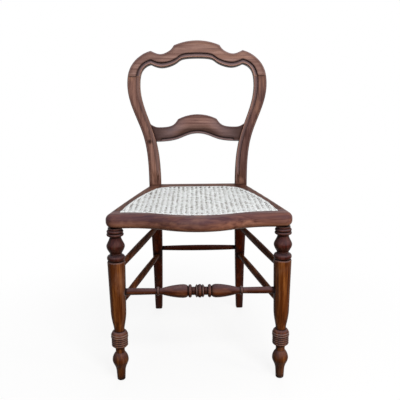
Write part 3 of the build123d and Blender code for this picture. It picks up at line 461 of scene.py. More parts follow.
class OldTimber:
    """Worn, waxed timber with its grain along one direction, aged as told."""

    def __init__(self, name, turn, seed, colours, age):
        self.age = {**AGE, **age}
        self.shades = settings().timber
        self.material, self.tree, self.shader = new_material(name)
        self.place = self.tree.nodes.new("ShaderNodeTexCoord").outputs["Object"]
        self.normal = self.tree.nodes.new("ShaderNodeNewGeometry").outputs["Normal"]
        along = mapped(self.tree, self.place, turn=turn, shift=[seed * shift for shift in SEED_SHIFT])
        self.over = {key: clouded(self.tree, along, *noise) for key, noise in NOISES.items()}
        self.over["facing up"] = part_of(self.tree, self.normal, "Z")
        self.over["height"] = part_of(self.tree, self.place, "Z")
        self.colour = self.grained(colours)
        self.below = None
        self.bead = None
        self.inner = None
        self.leaning = None
        self.stain()
        self.weather()
        self.smoke()
        self.grey_bead()
        self.darken_edges()
        self.soil()
        self.pick_out_rings()
        self.pick_out_bead()
        self.mark()
        self.polish()

    def look(self, name, strength=None):
        """How much of a look there is, up to a strength where it has none of its own."""
        source, *limits = LOOKS[name]
        if strength is not None:
            limits += [0, strength]
        return ranged(self.tree, self.over[source], *limits)

    def hidden(self, limits, strength, reach, inside=False, normal=None):
        """How much of a look there is in corners, or along edges as seen from inside."""
        return ranged(self.tree, hollows(self.tree, reach, inside, normal), *limits, 0, strength)

    def split(self, amount, above, below):
        """An amount, of which one share is left above the low colours and another below."""
        if self.below is None:
            return amount
        return times(self.tree, amount, ranged(self.tree, self.below, 0, 1, above, below))

    def lay(self, amount, colour):
        """Lay a colour over what is there."""
        self.colour = mixed(self.tree, amount, self.colour, colour)

    def grained(self, colours):
        """Grain from dark to light, with broad darker bands."""
        fine = graded(self.tree, self.look("grain"), colours)
        return mixed(self.tree, self.look("dark bands"), fine, colours[0])

    def stain(self):
        """Tint of the whole piece, and other colours lower down."""
        if self.age["tint"]:
            self.colour = mixed(self.tree, 1.0, self.colour, (*self.age["tint"], 1), "MULTIPLY")
        if self.age["low_colours"]:
            self.below = ranged(self.tree, self.over["height"], *self.age["low_range"])
            self.lay(self.below, self.grained(self.age["low_colours"]))

    def weather(self):
        """Painted sheen on what faces up, and rubbed wear."""
        tree, age = self.tree, self.age
        greyed = ranged(tree, self.over["facing up"], *age["bloom_range"], 0, age["bloom"])
        self.lay(times(tree, greyed, self.look("bloom patches")), age["bloom_colour"] or self.shades.bloom)
        rubbed = worked(tree, "MAXIMUM", self.look("rubbed patches"), self.look("rubbed streaks"))
        self.lay(times(tree, self.split(rubbed, 1, age["low_wear"]), age["wear"]), self.shades.worn)

    def smoke(self):
        """Painted shade towards the ends of a rail, and a band of painted shade that follows the arch of its
        lower edge.
        """
        if self.age["arch"]:
            tree = self.tree
            self.over["aside"] = worked(tree, "ABSOLUTE", part_of(tree, self.place, "X"))
            self.lay(times(tree, self.look("haze"), self.look("haze patches")), self.shades.haze)
            edge = ranged(tree, self.over["aside"], *ARCH_FALL, *self.age["arch"])
            edge.node.interpolation_type = "SMOOTHSTEP"
            rise = measured(tree, "DOT_PRODUCT", self.place, UP)
            self.over["above arch"] = worked(tree, "SUBTRACT", rise, edge)
            band = worked(tree, "MAXIMUM", self.look("smoked band"), self.look("smoked ends"))
            self.lay(band, self.shades.smoke)

    def grey_bead(self):
        """Painted sheen on the sloping bead round the opening."""
        if self.age["middle"] is not None:
            tree = self.tree
            toward = steered(tree, "SUBTRACT", self.age["middle"], self.place)
            self.leaning = leant(tree, self.normal, toward, self.age["rim_way"], RIM_LEAN)
            self.over["facing in"] = measured(tree, "DOT_PRODUCT", self.normal, toward)
            self.over["facing as the back"] = measured(tree, "DOT_PRODUCT", self.normal, BACK_FACE)
            above_seat = self.look("above seat")
            self.bead = times(tree, self.look("bead top"), self.look("bead edge"), above_seat)
            inner = times(tree, self.look("inner side"), above_seat)
            self.inner = worked(tree, "MAXIMUM", inner, self.bead)
            self.lay(times(tree, self.bead, self.age["bead"]), self.shades.bead)

    def darken_edges(self):
        """Painted shade on what faces down, left or right, and along the outer edges except on the bead."""
        tree, age = self.tree, self.age
        self.lay(self.look("underside", age["under"]), self.shades.under)
        if age["sides"]:
            self.over["facing aside"] = worked(tree, "ABSOLUTE", part_of(tree, self.normal, "X"))
            self.lay(self.look("sides", age["sides"]), self.shades.under)
        rim = self.hidden(RIM_OPEN, age["rim"], age["rim_reach"], True, self.leaning)
        if age["rim_fade"]:
            rim = times(tree, rim, ranged(tree, self.over["height"], *age["rim_fade"], 1, RIM_LEFT))
        if self.bead is not None:
            rim = times(tree, rim, worked(tree, "SUBTRACT", 1.0, self.bead))
        self.lay(rim, self.shades.rim)

    def soil(self):
        """Darker towards the floor, old polish and painted shade in the corners, and dark pores."""
        if self.age["scuffs"]:
            self.lay(self.look("scuffs", self.age["scuffs"]), self.shades.under)
        self.lay(self.hidden(DIRT_OPEN, self.age["dirt"], self.age["soil"]), self.shades.grime)
        self.lay(self.look("dark pores"), self.shades.grime)

    def pick_out_rings(self):
        """Painted highlights on the crowns of turned rings, and black in the grooves between them: old
        polish there and painted shade.
        """
        age = self.age
        if age["crown"]:
            crown = self.hidden(CROWN_OPEN, age["crown"], EDGE_REACH, True)
            crown = self.split(crown, age["top_crown"], 1)
            self.lay(times(self.tree, crown, self.look("ring crowns")), self.shades.crown)
        if age["grooves"]:
            self.lay(self.hidden(GROOVE_OPEN, age["grooves"], GROOVE_REACH), self.shades.grime)

    def pick_out_bead(self):
        """Painted shade with old polish on the edge of the face beside the bead, and bare edge of the bead
        at the opening.
        """
        if self.bead is not None:
            quirk = self.hidden(QUIRK_OPEN, self.age["quirk"], EDGE_REACH, True)
            self.lay(times(self.tree, quirk, self.inner, self.look("flat face")), self.shades.grime)
            lip = self.hidden(LIP_OPEN, self.age["lip"], EDGE_REACH, True)
            self.lay(times(self.tree, lip, self.bead), self.shades.worn)

    def mark(self):
        """Dark lines at the joints, and dark marks with ragged edges."""
        tree = self.tree
        for direction, distance, width in self.age["joints"]:
            offset = worked(tree, "SUBTRACT", measured(tree, "DOT_PRODUCT", self.place, direction), distance)
            line = ranged(tree, worked(tree, "ABSOLUTE", offset), width, width / 3, 0, MARK_STRENGTH)
            self.lay(line, self.shades.grime)
        for spot, radius in self.age["marks"]:
            ragged = self.look("grain", radius / 2)
            near = worked(tree, "ADD", measured(tree, "DISTANCE", self.place, spot), ragged)
            span = [radius * share for share in MARK_SPAN]
            self.lay(ranged(tree, near, *span, 0, MARK_STRENGTH), self.shades.grime)

    def polish(self):
        """Colour, polish and relief, wired to the shader."""
        tree, shader = self.tree, self.shader
        tree.links.new(self.colour, shader.inputs["Base Color"])
        dull = worked(tree, "ADD", self.look("dull patches"), self.look("dull pores"))
        tree.links.new(dull, shader.inputs["Roughness"])
        shader.inputs["Specular IOR Level"].default_value = self.age["gloss"]
        relief = worked(tree, "ADD", self.over["grain"], times(tree, self.over["pores"], PORE_DEPTH))
        emboss(tree, shader, relief, *TIMBER_RELIEF)


def clad(nodes, name, turn, wood, seed, **age):
    """Give CAD nodes a finish of old timber, in the grain colours of a kind of timber."""
    finish = OldTimber(name, turn, seed, settings().timber.grain(wood), age).material
    for node in nodes:
        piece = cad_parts[node]
        if not piece.material_slots:
            raise RuntimeError(node + " has no material slot")
        for slot in piece.material_slots:
            slot.material = finish


def new_piece(name, shell, material):
    """A smooth piece from a bmesh, which is freed."""
    for face in shell.faces:
        face.smooth = True
    mesh = bpy.data.meshes.new(name)
    shell.to_mesh(mesh)
    shell.free()
    mesh.materials.append(material)
    piece = bpy.data.objects.new(name, mesh)
    bpy.context.scene.collection.objects.link(piece)
    return piece


# Cane

BINDER_MERGE = 1e-5
BINDER_LEVEL = 1e-4  # how far below its top the binder still counts as flat
BINDER_SHARES = (0.02, 0.0, 0.15, 0.35, 0.55, 0.75, 0.93, 0.91)  # across the binder, foot to foot
BINDER_SINK = 0.0002  # depth of its feet below the top of the rails
CREASE = math.radians(40)
STRAIGHT_STEPS = 10  # of a straight strand in each pitch
DIAGONAL_STEPS = 8 / math.sqrt(2)
LEAST_STEPS = 4
DIAGONAL_SPREAD = 1.5  # how far to each side the diagonal strands start, in reaches of the seat

# Noise in the cane: stretch per metre along the strand, across it and up, and detail

FIBRE = ((30, 4500, 30), 3)
STRAND = ((4, 420, 4), 1)
BLOTCH = ((40, 40, 40), 3)
DOTS = ((110, 75, 110), 2)

# Where a look of the cane starts and is full, and its strength at each

DARK_FIBRE = (0.35, 0.75, 0, 0.45)
DARK_STRAND = (0.4, 0.75, 0, 0.45)
DARK_BLOTCH = (0.55, 0.8, 0, 0.3)
DUST_DOTS = (0.42, 0.6, 0.1, 1)
# Painted shade with dust: darker in hollows, and on strand edges that turn away from up
DUST_OPEN = (0.75, 0.25, 0, 0.8)
DUST_REACH = 0.004
DUST_FACING = (0.75, 0.4)
CANE_ROUGHNESS = (0.3, 0.7, 0.4, 0.6)
CANE_RELIEF = (0.25, 0.0002)  # strength and depth


def binder_edges():
    """Inner and outer edge of the flat binder of the frame, each a ring of points in order."""
    ring = bmesh.new()
    ring.from_mesh(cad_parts["weave_binder"].data)
    bmesh.ops.remove_doubles(ring, verts=ring.verts[:], dist=BINDER_MERGE)
    top = max(vert.co.z for vert in ring.verts)
    cap = {face for face in ring.faces if all(vert.co.z > top - BINDER_LEVEL for vert in face.verts)}
    rim = {edge for edge in ring.edges if sum(face in cap for face in edge.link_faces) == 1}
    loops = []
    while rim:
        edge = rim.pop()
        first, at = edge.verts
        loop = [first.co.xy.copy()]
        while at is not first:
            loop.append(at.co.xy.copy())
            edge = next(link for link in at.link_edges if link in rim)
            rim.remove(edge)
            at = edge.other_vert(at)
        loops.append(loop)
    ring.free()
    if len(loops) != 2:
        raise RuntimeError("the binder of the frame is not one ring")
    loops.sort(key=lambda loop: max(point.length for point in loop))
    return loops, top


def crossings(loop, point, heading):
    """Where a straight line is inside a ring: pairs of distances along the line."""
    across = Vector((-heading.y, heading.x))
    cuts = []
    for start, end in zip(loop, loop[1:] + loop[:1]):
        low = (start - point).dot(across)
        high = (end - point).dot(across)
        if (low < 0) != (high < 0):
            share = low / (low - high)
            cuts.append((start.lerp(end, share) - point).dot(heading))
    cuts.sort()
    return list(zip(cuts[0::2], cuts[1::2]))


def seat_rings(shares, count):
    """Rings of points between the binder's two edges, their centre, and the height of its flat top."""
    (inner, outer), top = binder_edges()
    centre = (Vector((min(p.x for p in inner), min(p.y for p in inner)))
              + Vector((max(p.x for p in inner), max(p.y for p in inner)))) / 2
    rings = [[] for share in shares]
    for step in range(count):
        angle = 2 * math.pi * step / count
        heading = Vector((math.cos(angle), math.sin(angle)))
        near = max(end for start, end in crossings(inner, centre, heading))
        far = max(end for start, end in crossings(outer, centre, heading))
        for ring, share in zip(rings, shares):
            ring.append(centre + heading * (near + (far - near) * share))
    return rings, centre, top


def swing(distance, pitch, gap):
    """Rise and fall of a strand: down at the first of a pair, up at the second."""
    place = (distance + pitch / 2) % pitch - pitch / 2
    if abs(place) <= gap / 2:
        return math.sin(math.pi * place / gap)
    share = (abs(place) - gap / 2) / (pitch - gap)
    return math.copysign(math.cos(math.pi * share), place)


class SeatNet:
    """Where the strands lie: the outline they are tucked in at, its centre and its level."""

    RAYS = 720
    TUCK = 0.88  # how far across the binder the strands run before they are tucked in

    def __init__(self):
        (inner, self.outline), self.centre, self.top = seat_rings((0.0, self.TUCK), self.RAYS)
        low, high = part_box("seat_weave")
        self.level = (low[2] + high[2]) / 2
        self.inner = [(point - self.centre).length for point in inner]
        self.reach = max((point - self.centre).length for point in self.outline)

    def height(self, spot, rise):
        """Level of a strand at a spot: its sag, its rise over the others, and its climb on to the binder."""
        cane = settings().cane
        arm = spot - self.centre
        away = arm.length
        turns = math.atan2(arm.y, arm.x) / (2 * math.pi)
        bed = self.inner[round(turns * self.RAYS) % self.RAYS]
        climb = min(1.0, max(0.0, (away - bed + cane.climb) / cane.climb))
        climb = climb * climb * (3 - 2 * climb)
        hung = self.level - cane.sag * (1 - min(1.0, away / self.reach) ** 2)
        return hung + rise + climb * (self.top - cane.thickness / 2 - self.level)

    def lay(self, sheet, point, heading, width, rise, fineness):
        """Strands along a line, wherever it crosses the seat, with some steps in each pitch."""
        pitch = settings().cane.pitch
        for low, high in crossings(self.outline, point, heading):
            if high - low >= pitch / 2:
                steps = max(LEAST_STEPS, round(fineness * (high - low) / pitch))
                self.strand(sheet, point + heading * low, point + heading * high, width, rise, steps)

    def strand(self, sheet, start, end, width, rise, steps):
        """A flat crowned strand between two spots, as a grid bent to its rise and fall."""
        cane = settings().cane
        along = end - start
        across = Vector((-along.y, along.x)).normalized() * width
        grid = bmesh.ops.create_grid(sheet, x_segments=steps, y_segments=2, size=0.5)
        for vert in grid["verts"]:
            share = vert.co.x + 0.5
            side = vert.co.y
            spot = start + along * share
            crown = cane.crown * (1 - 4 * side * side)
            tucked = cane.thickness if min(share, 1 - share) < 0.5 / steps else 0.0
            vert.co = (*(spot + across * side), self.height(spot, rise(spot)) + crown - tucked)


def cane_piece(name, sheet, material):
    """Give a sheet of strands its thickness and make it a piece of the seat."""
    bmesh.ops.recalc_face_normals(sheet, faces=sheet.faces[:])
    for face in sheet.faces:
        if face.normal.z < 0:
            face.normal_flip()
    bmesh.ops.solidify(sheet, geom=sheet.faces[:], thickness=settings().cane.thickness)
    piece = new_piece(name, sheet, material)
    piece.data.set_sharp_from_angle(angle=CREASE)
    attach(piece, BODY)
    return piece


def cane_skin(name, turn, edges):
    """Pale split cane with fine fibres along the strand, and painted shade with dust in its hollows and on
    its edges.
    """
    cane = settings().cane
    material, tree, shader = new_material(name)
    place = tree.nodes.new("ShaderNodeTexCoord").outputs["Object"]
    along = mapped(tree, place, turn=turn)
    fibre = clouded(tree, along, *FIBRE)
    shade = ranged(tree, fibre, *DARK_FIBRE)
    for noise, dark in ((STRAND, DARK_STRAND), (BLOTCH, DARK_BLOTCH)):
        shade = worked(tree, "ADD", shade, ranged(tree, clouded(tree, along, *noise), *dark))
    colour = mixed(tree, shade, cane.colour, cane.dark)
    facing = part_of(tree, tree.nodes.new("ShaderNodeNewGeometry").outputs["Normal"], "Z")
    # Painted shade with dust in the hollows and on the edges of the strands
    settled = ranged(tree, hollows(tree, DUST_REACH), *DUST_OPEN)
    settled = worked(tree, "MAXIMUM", settled, ranged(tree, facing, *DUST_FACING, 0, edges))
    settled = times(tree, settled, ranged(tree, clouded(tree, place, *DOTS), *DUST_DOTS))
    tree.links.new(mixed(tree, settled, colour, cane.dust), shader.inputs["Base Color"])
    tree.links.new(ranged(tree, fibre, *CANE_ROUGHNESS), shader.inputs["Roughness"])
    emboss(tree, shader, fibre, *CANE_RELIEF)
    return material


# Operators


class CHAIR_OT_back(bpy.types.Operator):
    """Finish the posts, the crest and the mid rail"""

    bl_idname = "chair.back"
    bl_label = "Back"

    def execute(self, context):
        joint = (UP, Vector(BACK_FOOT).dot(UP) + SHOULDER_RISE, SHOULDER_LINE)
        gloss = settings().timber.gloss
        middle = Vector(BACK_FOOT) + Vector(UP) * OPENING_RISE
        marks = self.post_marks()
        looks = {
            # Tints paint light and shade: the left post lighter, the right post far darker, as the light
            # falls from the left
            "left": {"tint": (0.9, 0.8, 0.72), "wear": 0.6},
            "right": {"tint": (0.42, 0.34, 0.31), "wear": 0.45},
        }
        for index, side in enumerate(SIDES):
            # Below the seat the posts take the rear legs' colours: partly darker tone, partly painted shade
            clad([side + "_back_post"], side + "_post_timber", UP_THE_BACK, "back", seed=1.3 + index,
                 low_colours=settings().timber.grain("shade"), low_wear=0.2, bloom=0.9,
                 middle=middle, bead=0.4, lip=0.4, rim=0.8, rim_reach=0.012, rim_way=(1, 0, 0),
                 rim_fade=(0.67, 0.73), soil=0.006, dirt=0.25, gloss=gloss,
                 joints=[joint], marks=marks[side], **looks[side])
        clad(["crest_rail"], "crest_timber", ALONG_X, "back", seed=3.1,
             wear=0.4, bloom=0.9, middle=middle, bead=0.8, lip=0.75, quirk=0.6,
             rim=0.45, rim_reach=0.012, soil=0.01, dirt=0.75, gloss=gloss, joints=[joint])
        low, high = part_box("mid_rail")
        foot = Vector((0, low[1], low[2])).dot(UP)
        clad(["mid_rail"], "mid_rail_timber", ALONG_X, "back", seed=4.7,
             tint=(0.9, 0.86, 0.88), wear=0.35, bloom=0.8, middle=Vector(BACK_FOOT), bead=0.8, lip=0.1,
             quirk=0.5, rim_reach=0.009, soil=0.007, dirt=0.8, gloss=gloss,
             arch=(foot + MID_RAIL_ARCH, foot))
        return {"FINISHED"}

    def post_marks(self):
        """Dark marks on the rear legs round the ends of the stretchers, and one on the left post."""
        low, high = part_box("back_stretcher")
        rear = high[0] - REAR_SOCKET_DEPTH
        behind = ((low[1] + high[1]) / 2 - REAR_MARK[0], (low[2] + high[2]) / 2 - REAR_MARK[1])
        marks = {}
        for side, sign in SIDES.items():
            low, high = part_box(side + "_lower_stretcher")
            end = (min(abs(low[0]), abs(high[0])) + SIDE_END[0]) * sign
            marks[side] = [((end, high[1] - SIDE_END[1], high[2] - SIDE_END[2]), SIDE_END_RADIUS),
                           ((rear * sign, *behind), REAR_MARK_RADIUS)]
        marks["left"].append(PEG_MARK)
        return marks


class CHAIR_OT_seat_rails(bpy.types.Operator):
    """Finish the four rails of the seat"""

    bl_idname = "chair.seat_rails"
    bl_label = "Seat rails"

    def execute(self, context):
        timber = settings().timber
        # The front rail's top takes a darker painted sheen, set darker where the light from above is
        # strongest
        clad(["front_seat_rail"], "front_rail_timber", ALONG_X, "rail", seed=5.9,
             wear=0.35, bloom=0.8, bloom_colour=timber.rail_bloom, bloom_range=(-0.35, 0.3),
             under=0.35, gloss=timber.gloss)
        dull = {"tint": (0.4, 0.38, 0.37), "wear": 0.25, "bloom": 0.1, "gloss": timber.dull_gloss}
        clad(["back_seat_rail"], "back_rail_timber", ALONG_X, "rail", seed=6.2, **dull)
        for index, side in enumerate(SIDES):
            clad([side + "_side_seat_rail"], side + "_rail_timber", ALONG_Y, "rail",
                 seed=7.4 + index, **dull)
        return {"FINISHED"}


class CHAIR_OT_turned_work(bpy.types.Operator):
    """Finish the front legs and the stretchers"""

    bl_idname = "chair.turned_work"
    bl_label = "Turned work"

    def execute(self, context):
        timber = settings().timber
        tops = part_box("front_seat_rail")[0][2] - TURNED_DROP
        low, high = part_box("front_stretcher")
        level = ((low[1] + high[1]) / 2, (low[2] + high[2]) / 2)
        socket = high[0] - SOCKET_DEPTH
        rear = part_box("back_stretcher")[1][0] - REAR_SOCKET_DEPTH
        sockets = [((socket * sign, *level), SOCKET_RADII[side]) for side, sign in SIDES.items()]
        ends = [(ACROSS, socket * sign, SOCKET_LINES[side]) for side, sign in SIDES.items()]
        rear_ends = [(ACROSS, rear * sign, REAR_LINE) for sign in SIDES.values()]
        turned = {"bloom": 0.7, "bloom_range": (0.1, 0.85), "bloom_colour": timber.leg_bloom,
                  "rim": 0, "grooves": 0.9, "gloss": timber.leg_gloss}
        for index, side in enumerate(SIDES):
            clad([side + "_front_leg"], side + "_leg_timber", ALONG_Z, "turned", seed=9.1 + index,
                 low_colours=timber.grain("leg"), low_range=(tops + COLOUR_STEP, tops - COLOUR_STEP),
                 wear=0.1, low_wear=2.5, crown=0.7, top_crown=0.35, soil=0.02, marks=sockets,
                 scuffs=0.5, sides=0.6, **turned)
            clad([side + "_upper_stretcher", side + "_lower_stretcher"], side + "_stretcher_timber",
                 ALONG_Y, "leg", seed=11.6 + index,
                 tint=(0.6, 0.56, 0.56), wear=0.15, bloom=0, soil=0.03, gloss=timber.dull_gloss)
        clad(["front_stretcher"], "front_stretcher_timber", ALONG_X, "leg", seed=13.2,
             tint=(0.6, 0.52, 0.7), wear=0.25, crown=0.45, soil=0.013, joints=ends, **turned)
        # The back stretcher takes the rear legs' colours: partly darker tone, partly painted shade under the
        # seat
        clad(["back_stretcher"], "back_stretcher_timber", ALONG_X, "shade", seed=14.8,
             wear=0.1, bloom=0.2, joints=rear_ends, gloss=timber.dull_gloss)
        return {"FINISHED"}


class CHAIR_OT_turned_rings(bpy.types.Operator):
    """Turn the small rings on the front stretcher and on the cuffs of the front legs"""

    bl_idname = "chair.turned_rings"
    bl_label = "Turned rings"

    PROFILE_SIDES = 14
    TURN_STEPS = 56
    MERGE = 1e-6

    def execute(self, context):
        rings = settings().rings
        axis = self.axis_of("front_stretcher")
        axis.x = 0
        spots = [(axis + Vector((sign * rings.place, 0, 0)), rings.radius) for sign in SIDES.values()]
        self.turn("stretcher_rings", "front_stretcher", spots, Vector((0, 0, 1)), (1, 0, 0), rings.width)
        for side in SIDES:
            leg = side + "_front_leg"
            axis = self.axis_of(leg)
            spots = []
            for step in (0, 1):
                axis.z = rings.cuff_height + step * rings.cuff_width
                spots.append((axis.copy(), rings.cuff_radius - step * rings.cuff_step))
            self.turn(side + "_cuff_rings", leg, spots, Vector((1, 0, 0)), (0, 0, 1), rings.cuff_width)
        return {"FINISHED"}

    def axis_of(self, node):
        """Middle of a turned piece."""
        low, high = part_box(node)
        return (Vector(low) + Vector(high)) / 2

    def turn(self, name, node, spots, arm, axis, width):
        """Spin beads about an axis, each at a spot and of a radius, in the finish of a piece."""
        lathe = bmesh.new()
        upright = Matrix.Rotation(math.pi / 2, 4, "X")
        for middle, radius in spots:
            stood = Matrix.Translation(middle + arm * (radius - width / 2)) @ upright
            profile = bmesh.ops.create_circle(
                lathe, segments=self.PROFILE_SIDES, radius=width / 2, matrix=stood)["verts"]
            edges = list({edge for vert in profile for edge in vert.link_edges})
            bmesh.ops.spin(lathe, geom=profile + edges, cent=middle, axis=axis, angle=2 * math.pi,
                           steps=self.TURN_STEPS, use_merge=True)
        bmesh.ops.remove_doubles(lathe, verts=lathe.verts[:], dist=self.MERGE)
        bmesh.ops.recalc_face_normals(lathe, faces=lathe.faces[:])
        piece = new_piece(name, lathe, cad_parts[node].material_slots[0].material)
        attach(piece, BODY)


class CHAIR_OT_dowels(bpy.types.Operator):
    """Finish the dowels inside the joints"""

    bl_idname = "chair.dowels"
    bl_label = "Dowels"

    def execute(self, context):
        raw = {"wear": 0.2, "bloom": 0}
        clad(["crest_dowels"], "crest_dowel_timber", UP_THE_BACK, "leg", seed=15.5, **raw)
        clad(["seat_frame_dowels", "post_dowels"], "seat_dowel_timber", ALONG_Y, "leg", seed=16.3, **raw)
        return {"FINISHED"}


class CHAIR_OT_cane_straight(bpy.types.Operator):
    """Weave the paired strands front to back and side to side"""

    bl_idname = "chair.cane_straight"
    bl_label = "Straight strands"

    WEAVES = (  # name, direction, step to the next pair, first over or under, grain, painted shade and dust on the edges
        ("cane_front_to_back", (0, 1), (1, 0), 1, ALONG_Y, 0.3),
        ("cane_side_to_side", (1, 0), (0, 1), -1, ALONG_X, 1.0),
    )

    def execute(self, context):
        cane = settings().cane
        net = SeatNet()
        half = cane.pair_gap / 2
        count = math.ceil(net.reach / cane.pitch)
        for name, heading, across, sign, turn, edges in self.WEAVES:
            heading = Vector(heading)
            sheet = bmesh.new()
            for pair in range(-count, count + 1):
                for side in (-1, 1):

                    def rise(spot, heading=heading, way=-side * sign):
                        along = (spot - net.centre).dot(heading)
                        return way * cane.lift * swing(along, cane.pitch, cane.pair_gap)

                    point = net.centre + Vector(across) * (pair * cane.pitch + side * half)
                    net.lay(sheet, point, heading, cane.strand_width, rise, STRAIGHT_STEPS)
            piece = cane_piece(name, sheet, cane_skin(name + "_skin", turn, edges))
            if name == "cane_front_to_back":
                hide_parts("seat_weave")
        return {"FINISHED"}


class CHAIR_OT_cane_diagonal(bpy.types.Operator):
    """Weave the diagonal strands through the straight ones"""

    bl_idname = "chair.cane_diagonal"
    bl_label = "Diagonal strands"

    def execute(self, context):
        cane = settings().cane
        net = SeatNet()
        count = math.ceil(DIAGONAL_SPREAD * net.reach / cane.pitch)
        for name, lean, sign in (("cane_diagonal_rising", 1, -1), ("cane_diagonal_falling", -1, 1)):
            heading = Vector((1, lean)).normalized()
            sheet = bmesh.new()

            def rise(spot, sign=sign):
                turns = (spot.x - net.centre.x) / cane.pitch
                return sign * cane.diagonal_lift * math.cos(2 * math.pi * turns)

            for index in range(-count, count + 1):
                point = net.centre + Vector(((index + 0.5) * cane.pitch, 0))
                net.lay(sheet, point, heading, cane.diagonal_width, rise, DIAGONAL_STEPS)
            cane_piece(name, sheet, cane_skin(name + "_skin", (0, 0, math.radians(-45 * lean)), 1.0))
        return {"FINISHED"}


class CHAIR_OT_cane_binder(bpy.types.Operator):
    """Press the crowned binder strip into its groove round the seat"""

    bl_idname = "chair.cane_binder"
    bl_label = "Binder strip"

    def execute(self, context):
        cane = settings().cane
        rings, centre, top = seat_rings(BINDER_SHARES, SeatNet.RAYS)
        edge = top - cane.binder_crown - cane.thickness
        heights = [edge + cane.binder_crown * (1 - (2 * share - 1) ** 2) for share in BINDER_SHARES]
        heights[0] = heights[-1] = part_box("front_seat_rail")[1][2] - BINDER_SINK
        sheet = bmesh.new()
        loops = []
        for ring, height in zip(rings, heights):
            circle = bmesh.ops.create_circle(sheet, segments=len(ring), radius=1)["verts"]
            for vert, spot in zip(circle, ring):
                vert.co = (*spot, height)
            loops.append(list({link for vert in circle for link in vert.link_edges}))
        for first, second in zip(loops, loops[1:] + loops[:1]):
            bmesh.ops.bridge_loops(sheet, edges=first + second)
        bmesh.ops.recalc_face_normals(sheet, faces=sheet.faces[:])
        piece = new_piece("cane_binder", sheet, cane_skin("cane_binder_skin", ALONG_X, 0.5))
        piece.data.set_sharp_from_angle(angle=CREASE)
        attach(piece, BODY)
        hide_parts("weave_binder")
        return {"FINISHED"}


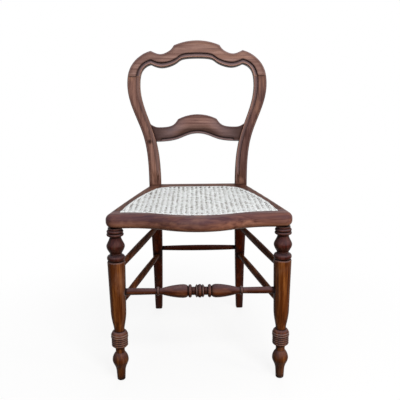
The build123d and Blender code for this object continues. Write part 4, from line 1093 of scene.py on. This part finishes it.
class CHAIR_OT_stage(bpy.types.Operator):
    """Lay the floor, hang the lamps and set the camera"""

    bl_idname = "chair.stage"
    bl_label = "Stage"

    LAMPS = (  # name, setting of its power, place, point that it faces, size, colour
        ("front_lamp", "key_power", (0.7, -1.9, 1.9), (0, 0, 0.5), (1.0, 0.6), (1.0, 0.98, 0.97)),
        ("top_lamp", "top_power", (0, -0.1, 2.6), (0, 0, 0.4), (1.6, 1.6), (0.92, 0.94, 1.0)),
        ("side_lamp", "side_power", (1.8, -1.2, 0.6), (0, 0, 0.2), (0.4, 0.8), (1.0, 0.92, 0.82)),
        ("back_lamp", "back_power", (0.3, 2.3, 1.6), (0, 0, 0.5), (1.6, 1.0), (1.0, 1.0, 1.0)),
    )
    FLOOR_HALF = 40
    FLOOR_CELLS = 8
    FLOOR_FADE = (0.3, 0.9, 0.86, 1)  # distances from the chair's middle, and how white the floor is there
    FLOOR_ROUGHNESS = 0.9
    FLOOR_GLOSS = 0.1
    WHITE = (1, 1, 1, 1)

    def execute(self, context):
        stage = settings().stage
        self.lay_floor(stage)
        self.light_room(context, stage)
        for name, power, place, target, size, colour in self.LAMPS:
            self.hang(context, name, place, target, size, getattr(stage, power), colour)
        self.set_camera(context, stage)
        context.scene.view_settings.view_transform = "Standard"
        return {"FINISHED"}

    def lay_floor(self, stage):
        """Pale floor that shows the chair's shadow and fades to white."""
        material, tree, shader = new_material("pale_floor")
        shader.inputs["Roughness"].default_value = self.FLOOR_ROUGHNESS
        shader.inputs["Specular IOR Level"].default_value = self.FLOOR_GLOSS
        place = tree.nodes.new("ShaderNodeTexCoord").outputs["Object"]
        seen = seen_rays(tree)
        tree.links.new(mixed(tree, seen, stage.floor_bounce, stage.floor), shader.inputs["Base Color"])
        white = times(tree, seen, ranged(tree, measured(tree, "LENGTH", place), *self.FLOOR_FADE))
        glow = tree.nodes.new("ShaderNodeEmission").outputs["Emission"]
        blend = wired(tree, "ShaderNodeMixShader", {"Fac": white, 1: shader.outputs["BSDF"], 2: glow})
        output = next(node for node in tree.nodes if node.type == "OUTPUT_MATERIAL")
        tree.links.new(blend.outputs["Shader"], output.inputs["Surface"])
        sheet = bmesh.new()
        bmesh.ops.create_grid(
            sheet, x_segments=self.FLOOR_CELLS, y_segments=self.FLOOR_CELLS, size=self.FLOOR_HALF)
        floor = new_piece("floor", sheet, material)

    def light_room(self, context, stage):
        """White all round for the eye and for reflections, and soft light from it."""
        world = bpy.data.worlds.new("pale_room")
        world.use_nodes = True
        tree = world.node_tree
        tree.nodes.clear()
        strength = ranged(tree, seen_rays(tree), 0, 1, stage.room, 1)
        ground = wired(tree, "ShaderNodeBackground", {"Color": self.WHITE, "Strength": strength})
        output = tree.nodes.new("ShaderNodeOutputWorld")
        tree.links.new(ground.outputs["Background"], output.inputs["Surface"])
        context.scene.world = world

    def hang(self, context, name, place, target, size, power, colour):
        """A broad soft lamp turned towards a point, that doesn't glint in the polish."""
        lamp = bpy.data.lights.new(name, "AREA")
        lamp.shape = "RECTANGLE"
        lamp.size, lamp.size_y = size
        lamp.energy = power
        lamp.color = colour
        hung = bpy.data.objects.new(name, lamp)
        hung.location = place
        facing = Vector(target) - Vector(place)
        hung.rotation_euler = facing.to_track_quat("-Z", "Y").to_euler()
        hung.visible_glossy = False
        context.scene.collection.objects.link(hung)

    def set_camera(self, context, stage):
        """Camera at the height and angle of the picture."""
        forward = Vector((math.sin(stage.yaw) * math.cos(stage.pitch),
                          math.cos(stage.yaw) * math.cos(stage.pitch), -math.sin(stage.pitch)))
        right = Vector((math.cos(stage.yaw), -math.sin(stage.yaw), 0))
        down = forward.cross(right)
        tilted = right * math.cos(stage.roll) + down * math.sin(stage.roll)
        sunk = down * math.cos(stage.roll) - right * math.sin(stage.roll)
        lens = bpy.data.cameras.new("picture_camera")
        lens.sensor_fit = "HORIZONTAL"
        lens.sensor_width = stage.sensor
        lens.lens = stage.sensor * stage.focal / stage.picture
        camera = bpy.data.objects.new("picture_camera", lens)
        turned = Matrix((tilted, -sunk, -forward)).transposed().to_4x4()
        camera.matrix_world = Matrix.Translation(Vector(stage.eye)) @ turned
        context.scene.collection.objects.link(camera)
        context.scene.camera = camera


OPERATORS = (
    CHAIR_OT_back, CHAIR_OT_seat_rails, CHAIR_OT_turned_work, CHAIR_OT_turned_rings, CHAIR_OT_dowels,
    CHAIR_OT_cane_straight, CHAIR_OT_cane_diagonal, CHAIR_OT_cane_binder, CHAIR_OT_stage,
)


class CHAIR_PT_panel(bpy.types.Panel):
    """The chair's operators and settings in the sidebar"""

    bl_idname = "CHAIR_PT_panel"
    bl_label = "Side chair"
    bl_space_type = "VIEW_3D"
    bl_region_type = "UI"
    bl_category = "Chair"

    def draw(self, context):
        chair = context.scene.side_chair
        for operator in OPERATORS:
            self.layout.operator(operator.bl_idname)
        for group in (chair.timber, chair.rings, chair.cane, chair.stage):
            box = self.layout.box()
            for key in group.bl_rna.properties.keys():
                if key not in ("rna_type", "name"):
                    box.prop(group, key)


CLASSES = (ChairTimber, ChairRings, ChairCane, ChairStage, ChairSettings, *OPERATORS, CHAIR_PT_panel)


def register():
    for item in CLASSES:
        bpy.utils.register_class(item)
    bpy.types.Scene.side_chair = PointerProperty(type=ChairSettings)


def unregister():
    del bpy.types.Scene.side_chair
    for item in reversed(CLASSES):
        bpy.utils.unregister_class(item)


def main():
    register()
    bpy.ops.chair.back()
    bpy.ops.chair.seat_rails()
    bpy.ops.chair.turned_work()
    bpy.ops.chair.turned_rings()
    bpy.ops.chair.dowels()
    bpy.ops.chair.cane_straight()
    bpy.ops.chair.cane_diagonal()
    bpy.ops.chair.cane_binder()
    bpy.ops.chair.stage()
    bpy.context.view_layer.update()


if __name__ == "__main__":
    main()
